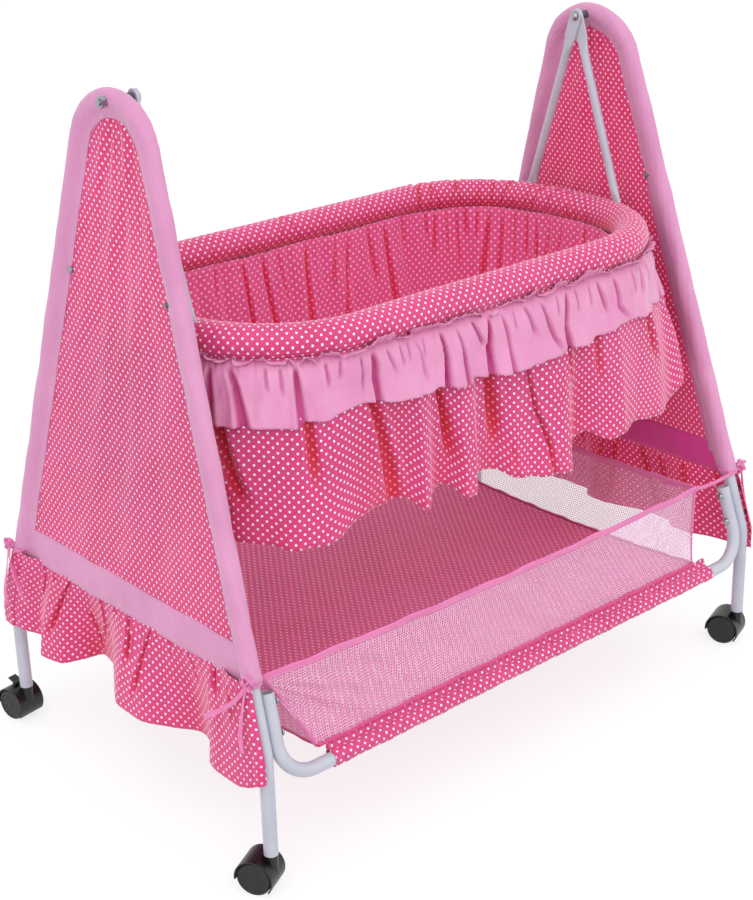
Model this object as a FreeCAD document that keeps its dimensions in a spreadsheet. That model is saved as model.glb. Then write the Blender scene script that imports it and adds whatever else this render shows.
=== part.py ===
import FreeCAD, Part
import Sketcher
import math
import os

# A swinging cradle on castors. Two white tube end frames lean a little inwards and are
# joined by two floor rails. A padded fabric bed hangs between them from four thin arms
# that meet on one bolt at the top of each end frame. Cloth closes the end frames, and a
# net basket is tied between the legs over a cloth floor.
#
# +X runs along the cradle to its right-hand end, +Y to the back, +Z up. The origin is on
# the floor, under the middle of everything. Lengths are millimetres, angles degrees.

SIZES = {
    # end frames
    "frame_tube": 19.0, "frame_wall": 1.2,
    "foot_half_length": 471.0, "foot_half_width": 293.0, "foot_height": 54.0,
    "bend_height": 195.5, "bend_radius": 60.0,
    "apex_height": 960.0, "bow_radius": 78.0, "frame_lean": 3.42,
    "bow_drop": 245.0, "spigot_length": 42.0, "swage_length": 8.0,
    # floor rails
    "rail_height": 157.0, "rail_bend": 48.0, "rail_top_height": 268.0, "seat_gap": 0.2,
    "rail_bolt_high": 257.0, "rail_bolt_low": 218.0,
    # fasteners
    "bolt_shank": 6.0, "bolt_head": 11.0, "bolt_head_height": 4.2, "nut_flats": 10.0,
    "nut_height": 5.0, "joint_nut_height": 1.5, "joint_nut_flats": 8.2,
    "hole_clearance": 0.2, "thread_clearance": 0.05,
    "pivot_shank": 8.0, "pivot_head": 13.0, "pivot_head_height": 5.0, "pivot_running": 0.08,
    "pivot_nut_flats": 13.0, "pivot_nut_height": 7.0, "pivot_end": 3.0,
    "bush_diameter": 12.0,
    # cloth on the end frames
    "cloth": 1.1, "cover_outward": 14.7, "cover_inward": 20.0, "cover_hug": 0.3,
    "cover_foot_height": 291.0, "seam_gap": 0.3,
    "band_top_height": 329.0, "band_foot_height": 281.0,
    "end_frill_foot": 150.0, "end_frill_half_width": 312.0, "end_frill_depth": 7.0,
    "end_frill_flare": 10.0, "end_frill_waves": 7, "end_frill_stand": 5.7,
    "zip_width": 6.0, "zip_thickness": 1.6, "pull_length": 17.0, "pull_width": 4.5,
    # floor basket
    "sleeve_end_gap": 95.0, "floor_height": 176.0,
    "floor_sag": 12.0, "floor_end_gap": 101.0, "basket_shift": -20.0,
    "mouth_end_gap": 63.0, "mouth_height": 284.0, "net_thread": 1.0,
    "net_margin": 7.0, "net_bar": 2.6, "net_columns": 20, "net_rows": 4,
    "net_end_columns": 12, "tape_height": 9.0, "tape": 1.4, "tie_length": 62.0,
    # bed
    "bush_length": 17.0, "rim_half_width": 212.0, "rim_corner": 170.0,
    "rim_height": 672.0, "rim_tube": 16.0, "rim_wall": 1.0, "rim_pad": 23.7,
    "rim_spigot": 60.0, "hanger_tube": 12.7, "hanger_wall": 1.0, "hanger_corner_angle": 17.0,
    "hanger_plate": 3.0, "hanger_plate_width": 20.0, "hanger_neck": 26.0, "hanger_plate_length": 14.0,
    "hanger_eye_length": 34.0, "press_angle": 18.0,
    "bag_wall": 2.0, "bag_drop": 17.0, "bag_depth": 210.0, "bag_taper": 30.0,
    "board": 4.0, "board_gap": 3.0, "mattress": 26.0, "mattress_crown": 7.0,
    "skirt_drop": 12.0, "skirt_length": 232.0, "skirt_flare": 9.0, "skirt_fold": 8.0,
    "skirt_gather": 2.4, "skirt_waves": 18,
    "frill_drop": 4.0, "frill_length": 90.0, "frill_flare": 6.0, "frill_fold": 3.4,
    "frill_waves": 24,
    # castors
    "wheel_radius": 23.5, "wheel_inner_face": 6.2, "wheel_outer_face": 20.5, "rim_band": 4.0,
    "wheel_disc": 3.0, "wheel_dish": 0.75, "hub_cap": 1.0, "wheel_round": 1.6,
    "hub_radius": 6.0, "hub_start": 9.8,
    "axle_diameter": 5.0, "running_clearance": 0.08, "trail": 17.5,
    "hood_gap": 0.9, "hood_wall": 2.1, "hood_half_width": 21.5, "hood_front_drop": 37.0,
    "hood_rear_drop": 7.0, "core_radius": 18.3, "core_half_width": 9.2,
    "web_half_width": 3.2, "boss_radius": 5.6, "collar_radius": 9.0, "collar_foot": 5.9,
    "stem_diameter": 8.0, "stem_reach": 32.0, "stem_foot": 30.0, "socket_wall_gap": 0.1,
    "socket_length": 36.0, "socket_flange": 1.4,
    "lever_half_width": 6.5, "lever_length": 15.0, "lever_thickness": 3.0, "lever_boss": 3.0,
    "lever_pin": 2.4, "lever_tilt": 20.0, "ear": 2.2,
    "cut_overrun": 2.0,
}

# Which way each castor trails at rest, turned from straight back, as they stand now.
CASTOR_TURN = {"front_left": 28.0, "front_right": 20.0, "rear_left": 10.0, "rear_right": 14.0}
SIDES = {"left": -1, "right": 1}
ENDS = {"front": -1, "rear": 1}

V = FreeCAD.Vector
X, Y, Z = V(1, 0, 0), V(0, 1, 0), V(0, 0, 1)

doc = FreeCAD.newDocument("cradle")
sheet = doc.addObject("Spreadsheet::Sheet", "sizes")
for row, (name, value) in enumerate(SIZES.items(), start=1):
    sheet.set("A%d" % row, name)
    sheet.set("B%d" % row, str(value))
    sheet.setAlias("B%d" % row, name)
doc.recompute()


def size(name):
    return float(sheet.get(name))


def sind(angle):
    return math.sin(math.radians(angle))


def cosd(angle):
    return math.cos(math.radians(angle))


# The frame's own geometry, worked out from the sizes above. "Up the frame" is measured
# from the bend along the leaning plane.
LEAN = size("frame_lean")
BEND_Z = size("bend_height")
JOINT_HEIGHT = size("apex_height") - size("bow_drop")
TUBE_R = size("frame_tube") / 2
PLANE_APEX = (size("apex_height") - BEND_Z) / cosd(LEAN)
PLANE_CENTRE = PLANE_APEX - size("bow_radius")
REACH = math.hypot(size("foot_half_width"), PLANE_CENTRE)
LEG_ANGLE = math.degrees(math.atan2(size("foot_half_width"), PLANE_CENTRE)
                         - math.asin(size("bow_radius") / REACH))
APEX_X = size("foot_half_length") - PLANE_APEX * sind(LEAN)
# One unit of height moves the leg this far towards the middle, across and along.
SLOPE_Y = math.tan(math.radians(LEG_ANGLE)) / cosd(LEAN)
SLOPE_X = math.tan(math.radians(LEAN))

# The castors trail to the back, so the middle of the whole lies a little behind the frame's.
HOOD_R = size("wheel_radius") + size("hood_gap") + size("hood_wall")
RAIL_Y = size("foot_half_width") + (BEND_Z - size("rail_height")) * SLOPE_Y
FRONT_REACH = RAIL_Y + TUBE_R + size("cover_hug") + size("cloth")


def castor_rear_reach(name):
    turn = CASTOR_TURN[name]
    corner = size("hood_half_width") * sind(turn)
    return size("foot_half_width") + size("trail") * cosd(turn) + HOOD_R * cosd(turn) + corner


REAR_REACH = max(castor_rear_reach("rear_left"), castor_rear_reach("rear_right"))
MIDDLE_Y = -(REAR_REACH - FRONT_REACH) / 2


def frame_x(height):
    """Distance of an end frame's centre plane from the middle at a height."""
    return size("foot_half_length") - max(0, height - BEND_Z) * SLOPE_X


def leg_y(height):
    """Distance of a leg's centre line from the middle plane at a height."""
    return size("foot_half_width") - max(0, height - BEND_Z) * SLOPE_Y


def at(x=0, y=0, z=0, rotation=None):
    """A placement in the part's frame for a place measured from the middle of the frame."""
    return FreeCAD.Placement(V(x, y + MIDDLE_Y, z), rotation or FreeCAD.Rotation())


def end_placement(side):
    """The leaning plane of one end frame: local X outwards, Y to the back, Z up its height."""
    lean = FreeCAD.Rotation(Y, -side * LEAN)
    return at(side * size("foot_half_length"), 0, BEND_Z, lean)


def turned(axes):
    """A rotation from its local X, Y and Z axes given in the part's frame."""
    local_x, local_y, local_z = axes
    return FreeCAD.Rotation(local_x, local_y, local_z, "ZXY")


OUTPUT = []


def keep(thing, label, placement=None):
    thing.Label = label
    if placement is not None:
        thing.Placement = placement
    OUTPUT.append(thing)
    return thing


# Small helpers for bodies, sketches and booleans


def new_body(name):
    return doc.addObject("PartDesign::Body", name)


def origin_plane(body, role):
    for feature in body.Origin.OriginFeatures:
        if feature.Role == role:
            return feature


def new_sketch(body, name, role, lift=None):
    sketch = body.newObject("Sketcher::SketchObject", name)
    sketch.AttachmentSupport = [(origin_plane(body, role), "")]
    sketch.MapMode = "FlatFace"
    if lift:
        sketch.setExpression("AttachmentOffset.Base.z", lift)
    return sketch


def bind(sketch, kind, first, expression, *more):
    """Adds one constraint to a sketch and ties it to the sheet."""
    index = sketch.addConstraint(Sketcher.Constraint(kind, first, *more))
    sketch.setExpression("Constraints[%d]" % index, expression)
    return index


def circle(sketch, diameter, radius_now):
    """A circle on the sketch's origin whose diameter follows the sheet."""
    edge = sketch.addGeometry(Part.Circle(V(), Z, radius_now))
    sketch.addConstraint(Sketcher.Constraint("Coincident", edge, 3, -1, 1))
    bind(sketch, "Diameter", edge, diameter, radius_now * 2)
    return edge


def ring(body, name, role, outer, bore):
    """A tube's round section on an origin plane."""
    sketch = new_sketch(body, name, role)
    circle(sketch, "sizes." + outer, size(outer) / 2)
    inner = "sizes.%s - 2 * sizes.%s" % (outer, bore)
    circle(sketch, inner, size(outer) / 2 - size(bore))
    return sketch


def pipe(body, name, profile, path):
    feature = body.newObject("PartDesign::AdditivePipe", name)
    feature.Profile = profile
    feature.Spine = path
    feature.Transition = "Round corner"
    return feature


def mirrored(body, features, role):
    feature = body.newObject("PartDesign::Mirrored", "mirrored")
    feature.Originals = features
    feature.MirrorPlane = (origin_plane(body, role), [""])
    body.Tip = feature
    return feature


def pad(body, name, sketch, length, both_ways=False):
    feature = body.newObject("PartDesign::Pad", name)
    feature.Profile = sketch
    feature.setExpression("Length", length)
    if both_ways:
        feature.Midplane = True
    return feature


def revolve(body, name, sketch, axis="V_Axis"):
    feature = body.newObject("PartDesign::Revolution", name)
    feature.Profile = sketch
    feature.ReferenceAxis = (sketch, [axis])
    feature.Angle = 360
    return feature


def outline(sketch, points):
    """A closed run of straight lines; every corner is tied to the sheet.

    Each point is a pair of expressions, its X and its Y in the sketch."""
    now = [V(value(a), value(b), 0) for a, b in points]
    count = len(now)
    edges = [sketch.addGeometry(Part.LineSegment(now[i], now[(i + 1) % count])) for i in range(count)]
    for i in range(count):
        sketch.addConstraint(Sketcher.Constraint("Coincident", edges[i], 2, edges[(i + 1) % count], 1))
    for i in range(count):
        fix_point(sketch, edges[i], 1, points[i])
    return edges


def fix_point(sketch, edge, end, point):
    """Ties one end of an edge to a place given as two expressions."""
    for kind, expression in zip(("DistanceX", "DistanceY"), point):
        now = value(expression)
        if expression == "0":
            on_axis = -2 if kind == "DistanceX" else -1
            sketch.addConstraint(Sketcher.Constraint("PointOnObject", edge, end, on_axis))
        else:
            bind(sketch, kind, -1, expression, 1, edge, end, now)


def value(expression):
    """What an expression on the sheet comes to now."""
    return float(sheet.evalExpression(expression)) if expression != "0" else 0.0


def cylinder(name, radius, length, start, axis):
    """A Part cylinder whose radius and height follow the sheet."""
    thing = doc.addObject("Part::Cylinder", name)
    thing.setExpression("Radius", radius)
    thing.setExpression("Height", length)
    thing.Placement = FreeCAD.Placement(start, FreeCAD.Rotation(Z, axis))
    return thing


def solid_of(name, shape):
    """A free-form piece whose shape is made below from the sheet's sizes."""
    thing = doc.addObject("Part::Feature", name)
    thing.Shape = shape
    return thing


def cut(name, base, tools):
    """The base with every tool taken out of it."""
    if len(tools) > 1:
        tool = doc.addObject("Part::MultiFuse", name + "_tools")
        tool.Shapes = tools
    else:
        tool = tools[0]
    thing = doc.addObject("Part::Cut", name)
    thing.Base = base
    thing.Tool = tool
    return thing


def group(name, pieces):
    """Several separate solids that share one file."""
    thing = doc.addObject("Part::Compound", name)
    thing.Links = pieces
    return thing


# Legs. Each is one bent tube: a slanting upper length, whose swaged top plugs into the
# bow, and an upright foot.


def leg_axes(side, end):
    """The leg's own axes: Z up its slanting length, X to where the foot turns off."""
    upper = V(-side * SLOPE_X, -end * SLOPE_Y, 1)
    upper.normalize()
    turn = math.degrees(upper.getAngle(Z))
    foot = (V(0, 0, -1) + upper * cosd(turn)) * (1 / sind(turn))
    return turn, (foot, upper.cross(foot), upper)


TOTAL_TURN = leg_axes(1, 1)[0]
UPPER_LENGTH = (JOINT_HEIGHT - BEND_Z) / cosd(TOTAL_TURN)
LOWER_LENGTH = BEND_Z - size("foot_height")
JOINT = "sizes.apex_height - sizes.bow_drop - sizes.bend_height"


def leg_path(body):
    """Upright foot, bend and slanting length, drawn down from the joint."""
    sketch = new_sketch(body, "centre_line", "XZ_Plane")
    half = math.radians(TOTAL_TURN) / 2
    tangent = size("bend_radius") * math.tan(half)
    start = V(0, 0, 0)
    bend_in = V(0, -(UPPER_LENGTH - tangent), 0)
    down = V(sind(TOTAL_TURN), -cosd(TOTAL_TURN), 0)
    corner = V(0, -UPPER_LENGTH, 0)
    bend_out = corner + down * tangent
    foot = corner + down * LOWER_LENGTH
    centre = bend_in + V(size("bend_radius"), 0, 0)
    middle = centre + V(-math.cos(half), -math.sin(half), 0) * size("bend_radius")
    upper = sketch.addGeometry(Part.LineSegment(start, bend_in))
    bend = sketch.addGeometry(Part.Arc(bend_in, middle, bend_out))
    lower = sketch.addGeometry(Part.LineSegment(bend_out, foot))
    return sketch


def swaged_end(body):
    """The drawn-in top of the leg, turned about the tube's own axis."""
    sketch = new_sketch(body, "swage_section", "XZ_Plane")
    outer = "sizes.frame_tube / 2"
    inner = outer + " - sizes.frame_wall"
    plug = inner + " - sizes.thread_clearance"
    plug_bore = plug + " - sizes.frame_wall"
    rise = "sizes.swage_length"
    top = "sizes.spigot_length"
    outline(sketch, [(inner, "0"), (outer, "0"), (plug, rise), (plug, top), (plug_bore, top),
                     (plug_bore, rise)])
    return revolve(body, "swaged_top", sketch)


def joint_point(side, end):
    """Where a leg's swaged end starts."""
    height = JOINT_HEIGHT - BEND_Z
    return V(side * (size("foot_half_length") - height * SLOPE_X),
             end * (size("foot_half_width") - height * SLOPE_Y), JOINT_HEIGHT)


def leg_body(side, end):
    body = new_body("leg_tube")
    section = ring(body, "tube_section", "XY_Plane", "frame_tube", "frame_wall")
    pipe(body, "bent_tube", section, leg_path(body))
    swaged_end(body)
    place = joint_point(side, end)
    body.Placement = at(place.x, place.y, place.z, turned(leg_axes(side, end)[1]))
    return body


def along_leg(side, end, height):
    """A point on the leg's centre line, in the part's frame."""
    return V(side * frame_x(height), end * leg_y(height) + MIDDLE_Y, height)


# Bolts across two tubes. A through hole is a cylinder along the bolt.


def bolt_axis_joint(side, end):
    """Across the tube in the plane of the end frame, from the inside edge outwards."""
    lean = V(-side * SLOPE_X, 0, 1).normalize()
    return (Y * (end * cosd(LEG_ANGLE)) + lean * sind(LEG_ANGLE)).normalize()


def bolt_axis_rail(side, end):
    """Across rail and leg, square to both, from the inside outwards."""
    turn, axes = leg_axes(side, end)
    slope = V(0, -end * SLOPE_Y, 1).normalize()
    return (X * side - slope * (X.dot(axes[2])) * side).normalize()


def hole(name, centre, axis, diameter, back, ahead=None):
    """A drilled hole: it starts some way back from the centre and runs ahead along the axis."""
    thing = doc.addObject("Part::Cylinder", name)
    thing.setExpression("Radius", diameter + " / 2 + sizes.hole_clearance")
    thing.Height = back + (back if ahead is None else ahead)
    thing.Placement = FreeCAD.Placement(centre - axis * back, FreeCAD.Rotation(Z, axis))
    return thing


BOLT = "sizes.bolt_shank"
JOINT_BOLT_HEIGHT = JOINT_HEIGHT + size("spigot_length") / 2


def leg_holes(side, end):
    rail_axis = bolt_axis_rail(side, end)
    holes = [hole("rail_hole", along_leg(side, end, size(name)), rail_axis, BOLT, size("frame_tube"))
             for name in ("rail_bolt_high", "rail_bolt_low")]
    joint_axis = bolt_axis_joint(side, end)
    holes.append(hole("joint_hole", along_leg(side, end, JOINT_BOLT_HEIGHT), joint_axis, BOLT,
                      size("frame_tube")))
    return holes


for end_name, end in ENDS.items():
    for side_name, side in SIDES.items():
        leg = cut("leg", leg_body(side, end), leg_holes(side, end))
        keep(leg, "%s_%s_leg" % (end_name, side_name))


# Bows. Each is half an arch drawn from the apex and mirrored.


def bow_path(body, name, foot_height):
    """The arch's centre line on the YZ plane, from the apex to a height on the leg."""
    sketch = new_sketch(body, name, "YZ_Plane")
    radius = size("bow_radius")
    spring = V(radius * cosd(LEG_ANGLE), PLANE_CENTRE + radius * sind(LEG_ANGLE), 0)
    middle = V(radius * sind((90 - LEG_ANGLE) / 2), PLANE_CENTRE + radius * cosd((90 - LEG_ANGLE) / 2), 0)
    foot_up = (foot_height - BEND_Z) / cosd(LEAN)
    foot = V(size("foot_half_width") - foot_up * math.tan(math.radians(LEG_ANGLE)), foot_up, 0)
    arch = sketch.addGeometry(Part.Arc(V(0, PLANE_APEX, 0), middle, spring))
    straight = sketch.addGeometry(Part.LineSegment(spring, foot))
    sketch.addConstraint(Sketcher.Constraint("Coincident", arch, 1, straight, 1))
    bind(sketch, "Radius", arch, "sizes.bow_radius", radius)
    return sketch


BOW_FOOT = JOINT_HEIGHT + (size("swage_length") + size("seat_gap")) * cosd(TOTAL_TURN)


def bow_body():
    body = new_body("bow_tube")
    section = new_sketch(body, "tube_section", "XZ_Plane")
    for radius in (TUBE_R, TUBE_R - size("frame_wall")):
        edge = section.addGeometry(Part.Circle(V(0, PLANE_APEX, 0), Z, radius))
        section.addConstraint(Sketcher.Constraint("PointOnObject", edge, 3, -2))
    half = pipe(body, "half_arch", section, bow_path(body, "centre_line", BOW_FOOT))
    mirrored(body, [half], "XZ_Plane")
    return body


def pivot_point(side):
    return V(side * APEX_X, MIDDLE_Y, size("apex_height"))


def bow_holes(side):
    holes = [hole("joint_hole", along_leg(side, end, JOINT_BOLT_HEIGHT), bolt_axis_joint(side, end),
                  BOLT, size("frame_tube")) for end in ENDS.values()]
    holes.append(hole("pivot_hole", pivot_point(side), X, "sizes.pivot_shank", size("frame_tube")))
    return holes


for side_name, side in SIDES.items():
    body = bow_body()
    body.Placement = end_placement(side)
    keep(cut("bow", body, bow_holes(side)), side_name + "_bow")


# Floor rails. Each is a flat U that leans back with the legs; its ends stand beside them.

RAIL_GAP = size("frame_tube") + size("seat_gap")
RAIL_LEAN = math.degrees(math.atan(SLOPE_X * cosd(LEG_ANGLE)))
RAIL_DIP = (BEND_Z - size("rail_height")) * math.hypot(1, SLOPE_Y)
RAIL_TOP = (size("rail_top_height") - BEND_Z) * math.hypot(1, SLOPE_Y)


def rail_path(body):
    """Half of the rail from its middle, with the leaning upright beside the leg."""
    sketch = new_sketch(body, "centre_line", "XZ_Plane")
    upright = V(-sind(RAIL_LEAN), cosd(RAIL_LEAN), 0)
    beside = V(size("foot_half_length") - RAIL_GAP / cosd(RAIL_LEAN), 0, 0)
    corner = beside - upright * (RAIL_DIP / cosd(RAIL_LEAN))
    top = beside + upright * (RAIL_TOP / cosd(RAIL_LEAN))
    turn = 90 + RAIL_LEAN
    tangent = size("rail_bend") * math.tan(math.radians(turn) / 2)
    bend_in = corner - X * tangent
    bend_out = corner + upright * tangent
    centre = bend_in + V(0, size("rail_bend"), 0)
    outward = (corner - centre).normalize()
    middle = centre + outward * size("rail_bend")
    start = V(0, corner.y, 0)
    sketch.addGeometry(Part.LineSegment(start, bend_in))
    sketch.addGeometry(Part.Arc(bend_in, middle, bend_out))
    sketch.addGeometry(Part.LineSegment(bend_out, top))
    return sketch


def rail_body(end):
    body = new_body("rail_tube")
    section = new_sketch(body, "tube_section", "YZ_Plane")
    for radius in (TUBE_R, TUBE_R - size("frame_wall")):
        edge = section.addGeometry(Part.Circle(V(0, -RAIL_DIP, 0), Z, radius))
        section.addConstraint(Sketcher.Constraint("PointOnObject", edge, 3, -2))
    half = pipe(body, "half_rail", section, rail_path(body))
    mirrored(body, [half], "YZ_Plane")
    slope = FreeCAD.Rotation(X, end * math.degrees(math.atan(SLOPE_Y)))
    body.Placement = at(0, end * size("foot_half_width"), BEND_Z, slope)
    return body


def beside_leg(side, end, height):
    """A point on the rail's upright level with a point on the leg."""
    return along_leg(side, end, height) - bolt_axis_rail(side, end) * RAIL_GAP


for end_name, end in ENDS.items():
    holes = [hole("rail_hole", beside_leg(side, end, size(name)), bolt_axis_rail(side, end), BOLT,
                  size("frame_tube"))
             for side in SIDES.values() for name in ("rail_bolt_high", "rail_bolt_low")]
    keep(cut("rail", rail_body(end), holes), end_name + "_rail")


# Fasteners


def bolt(name, head_face, axis, length, shank, head, head_height):
    """A domed bolt: its shank starts under the head and runs along the axis."""
    body = new_body(name)
    section = new_sketch(body, "half_section", "XZ_Plane")
    half_shank = "sizes.%s / 2" % shank
    half_head = "sizes.%s / 2" % head
    height = "-sizes.%s" % head_height
    shoulder = "-sizes.%s / 2" % head_height
    end = length
    outline(section, [("0", height), (half_head + " / 2", height), (half_head, shoulder), (half_head, "0"),
                      (half_shank, "0"), (half_shank, end), ("0", end)])
    revolve(body, "turned", section)
    body.Placement = FreeCAD.Placement(head_face, FreeCAD.Rotation(Z, axis))
    return body


def nut(name, seat, axis, flats, height, shank):
    """A hexagon nut seated on a face, with its thread left as a plain bore."""
    body = new_body(name)
    section = new_sketch(body, "hexagon", "XY_Plane")
    corner = size(flats) / 2 / cosd(30)
    points = [V(corner * cosd(60 * i), corner * sind(60 * i), 0) for i in range(6)]
    for i in range(6):
        section.addGeometry(Part.LineSegment(points[i], points[(i + 1) % 6]))
    for i in range(6):
        section.addConstraint(Sketcher.Constraint("Coincident", i, 2, (i + 1) % 6, 1))
    bore = "sizes.%s + 2 * sizes.thread_clearance" % shank
    circle(section, bore, size(shank) / 2 + size("thread_clearance"))
    pad(body, "nut_pad", section, "sizes." + height)
    body.Placement = FreeCAD.Placement(seat, FreeCAD.Rotation(Z, axis))
    return body


GAP = size("seat_gap")
PLUS_GAP = " + sizes.seat_gap"
JOINT_BOLT_LENGTH = "sizes.cover_inward + sizes.frame_tube / 2 + sizes.joint_nut_height" + PLUS_GAP * 2
RAIL_BOLT_LENGTH = "2 * sizes.frame_tube + sizes.nut_height" + PLUS_GAP * 3

rail_bolts, joint_bolts, frame_nuts = [], [], []
for end in ENDS.values():
    for side in SIDES.values():
        axis = bolt_axis_rail(side, end)
        for name in ("rail_bolt_high", "rail_bolt_low"):
            inner = beside_leg(side, end, size(name)) - axis * (TUBE_R + GAP)
            rail_bolts.append(bolt("rail_bolt", inner, axis, RAIL_BOLT_LENGTH, "bolt_shank", "bolt_head",
                                   "bolt_head_height"))
            outer = along_leg(side, end, size(name)) + axis * (TUBE_R + GAP)
            frame_nuts.append(nut("rail_nut", outer, axis, "nut_flats", "nut_height", "bolt_shank"))
        axis = bolt_axis_joint(side, end)
        middle = along_leg(side, end, JOINT_BOLT_HEIGHT)
        joint_bolts.append(bolt("joint_bolt", middle - axis * (size("cover_inward") + GAP), axis,
                                JOINT_BOLT_LENGTH, "bolt_shank", "bolt_head", "bolt_head_height"))
        frame_nuts.append(nut("joint_nut", middle + axis * (TUBE_R + GAP), axis, "joint_nut_flats",
                              "joint_nut_height", "bolt_shank"))
keep(group("rail_bolt_group", rail_bolts), "rail_bolts")
keep(group("joint_bolt_group", joint_bolts), "bow_bolts")
keep(group("nut_group", frame_nuts), "frame_nuts")


# Where the bed hangs. The four arms stand square to the rim's rounded corners and meet,
# one in front of the other, on the two pivot bolts.

RIM_Z = size("rim_height")
COVER_SIDE = TUBE_R + size("cover_hug") + size("cloth")
BUSH_END = APEX_X - COVER_SIDE - GAP
BUSH_START = BUSH_END - size("bush_length")
HANG_OUT = size("rim_tube") / 2 + size("hanger_plate") / 2 + GAP
HANG_REACH = size("rim_corner") + HANG_OUT
HANG_X = BUSH_START - size("hanger_plate") - 2 * GAP
CORNER_X = HANG_X - HANG_REACH * cosd(size("hanger_corner_angle"))
CORNER_Y = size("rim_half_width") - size("rim_corner")
RIM_HALF_LENGTH = CORNER_X + size("rim_corner")
HANG_Y = CORNER_Y + HANG_REACH * sind(size("hanger_corner_angle"))
ARM_LENGTH = math.hypot(HANG_Y, size("apex_height") - RIM_Z)
STACK = size("hanger_plate") / 2 + GAP / 2

# Pivot bolts: a domed head inside, the two arm ends, a bush, the bow and a lock nut outside.

HEAD_FACE = HANG_X - size("hanger_plate") - 2 * GAP
NUT_FACE = APEX_X + COVER_SIDE / cosd(LEAN) + size("pivot_nut_flats") * SLOPE_X + GAP
pivot_bolts, pivot_nuts, bushes = [], [], []
for side in SIDES.values():
    out = X * side
    length = str(NUT_FACE - HEAD_FACE) + " + sizes.pivot_nut_height + sizes.pivot_end"
    pivot_bolts.append(bolt("pivot_bolt", V(side * HEAD_FACE, MIDDLE_Y, size("apex_height")), out, length,
                            "pivot_shank", "pivot_head", "pivot_head_height"))
    pivot_nuts.append(nut("pivot_nut", V(side * NUT_FACE, MIDDLE_Y, size("apex_height")), out,
                          "pivot_nut_flats", "pivot_nut_height", "pivot_shank"))
    start = V(side * BUSH_START, MIDDLE_Y, size("apex_height"))
    wall = cylinder("bush_wall", "sizes.bush_diameter / 2", "sizes.bush_length", start, out)
    bore = hole("bush_bore", start, out, "sizes.pivot_shank", size("bush_diameter"), size("frame_tube") * 2)
    bushes.append(cut("bush", wall, [bore]))
keep(group("pivot_bolt_group", pivot_bolts), "pivot_bolts")
keep(group("pivot_nut_group", pivot_nuts), "pivot_nuts")
keep(group("bush_group", bushes), "pivot_bushes")


# Cloth on the end frames. The cover is a loose sleeve over the whole arch. The panel is
# zipped to its inside edge, with a plain band and a gathered frill below.

COVER_MIDDLE = PLANE_APEX - (size("cover_inward") - size("cover_outward")) / 2
COVER_DEEP = (size("cover_inward") + size("cover_outward")) / 2


def four_arcs(sketch, middle, corner, reach):
    """A closed run of four arcs about a middle; corner and reach are its half sizes."""
    first = sketch.GeometryCount
    corners = [middle + V(a * corner.x, b * corner.y, 0) for a, b in ((1, -1), (1, 1), (-1, 1), (-1, -1))]
    tops = [middle + way for way in (X * reach.x, Y * reach.y, X * -reach.x, Y * -reach.y)]
    for i in range(4):
        sketch.addGeometry(Part.Arc(corners[i], tops[i], corners[(i + 1) % 4]))
    for i in range(4):
        sketch.addConstraint(Sketcher.Constraint("Coincident", first + i, 2, first + (i + 1) % 4, 1))
    return sketch


def cover_section(body):
    """The sleeve's oval section: its outside and, one cloth further in, its inside."""
    section = new_sketch(body, "sleeve_section", "XZ_Plane")
    for fabric in (0, size("cloth")):
        reach = V(COVER_SIDE - fabric, COVER_DEEP - fabric, 0)
        corner = V(reach.x * cosd(45), reach.y * sind(45), 0)
        four_arcs(section, V(0, COVER_MIDDLE, 0), corner, reach)
    return section


def cover_holes(side):
    holes = [hole("joint_hole", along_leg(side, end, JOINT_BOLT_HEIGHT), bolt_axis_joint(side, end), BOLT,
                  size("cover_inward") + size("cut_overrun"), 0) for end in ENDS.values()]
    holes.append(hole("pivot_hole", pivot_point(side), X, "sizes.pivot_shank", size("frame_tube")))
    return holes


for side_name, side in SIDES.items():
    body = new_body("sleeve")
    half = pipe(body, "half_sleeve", cover_section(body), bow_path(body, "centre_line",
                                                                    size("cover_foot_height")))
    mirrored(body, [half], "XZ_Plane")
    body.Placement = end_placement(side)
    keep(cut("cover", body, cover_holes(side)), side_name + "_bow_cover")


def up_frame(height):
    """Distance up the leaning plane from the bend to a height."""
    return (height - BEND_Z) / cosd(LEAN)


def inside_edge(up, inset):
    """Half the width between the legs, this far inside their centre lines."""
    return (size("foot_half_width") - up * math.tan(math.radians(LEG_ANGLE))
            - inset / cosd(LEG_ANGLE))


INSET = size("cover_inward") + size("seam_gap")


def flat_cloth(name, label, side, edges, thickness, inward=0.0):
    """A piece of cloth in the leaning plane, cut to a run of edges."""
    body = new_body(name)
    sketch = new_sketch(body, "cut_shape", "YZ_Plane")
    for edge in edges:
        sketch.addGeometry(edge)
    for i in range(len(edges)):
        sketch.addConstraint(Sketcher.Constraint("Coincident", i, 2, (i + 1) % len(edges), 1))
    pad(body, "cloth_pad", sketch, thickness, both_ways=True)
    body.Placement = end_placement(side).multiply(FreeCAD.Placement(V(-side * inward, 0, 0),
                                                                    FreeCAD.Rotation()))
    return keep(body, label) if label else body


def panel_edges():
    """Round top, two straight sides, level foot."""
    radius = size("bow_radius") - INSET
    spring = V(radius * cosd(LEG_ANGLE), PLANE_CENTRE + radius * sind(LEG_ANGLE), 0)
    foot_up = up_frame(size("band_top_height")) + size("seam_gap")
    foot = V(inside_edge(foot_up, INSET), foot_up, 0)
    left_spring, left_foot = V(-spring.x, spring.y, 0), V(-foot.x, foot.y, 0)
    return [Part.Arc(spring, V(0, PLANE_CENTRE + radius, 0), left_spring),
            Part.LineSegment(left_spring, left_foot), Part.LineSegment(left_foot, foot),
            Part.LineSegment(foot, spring)]


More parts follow.
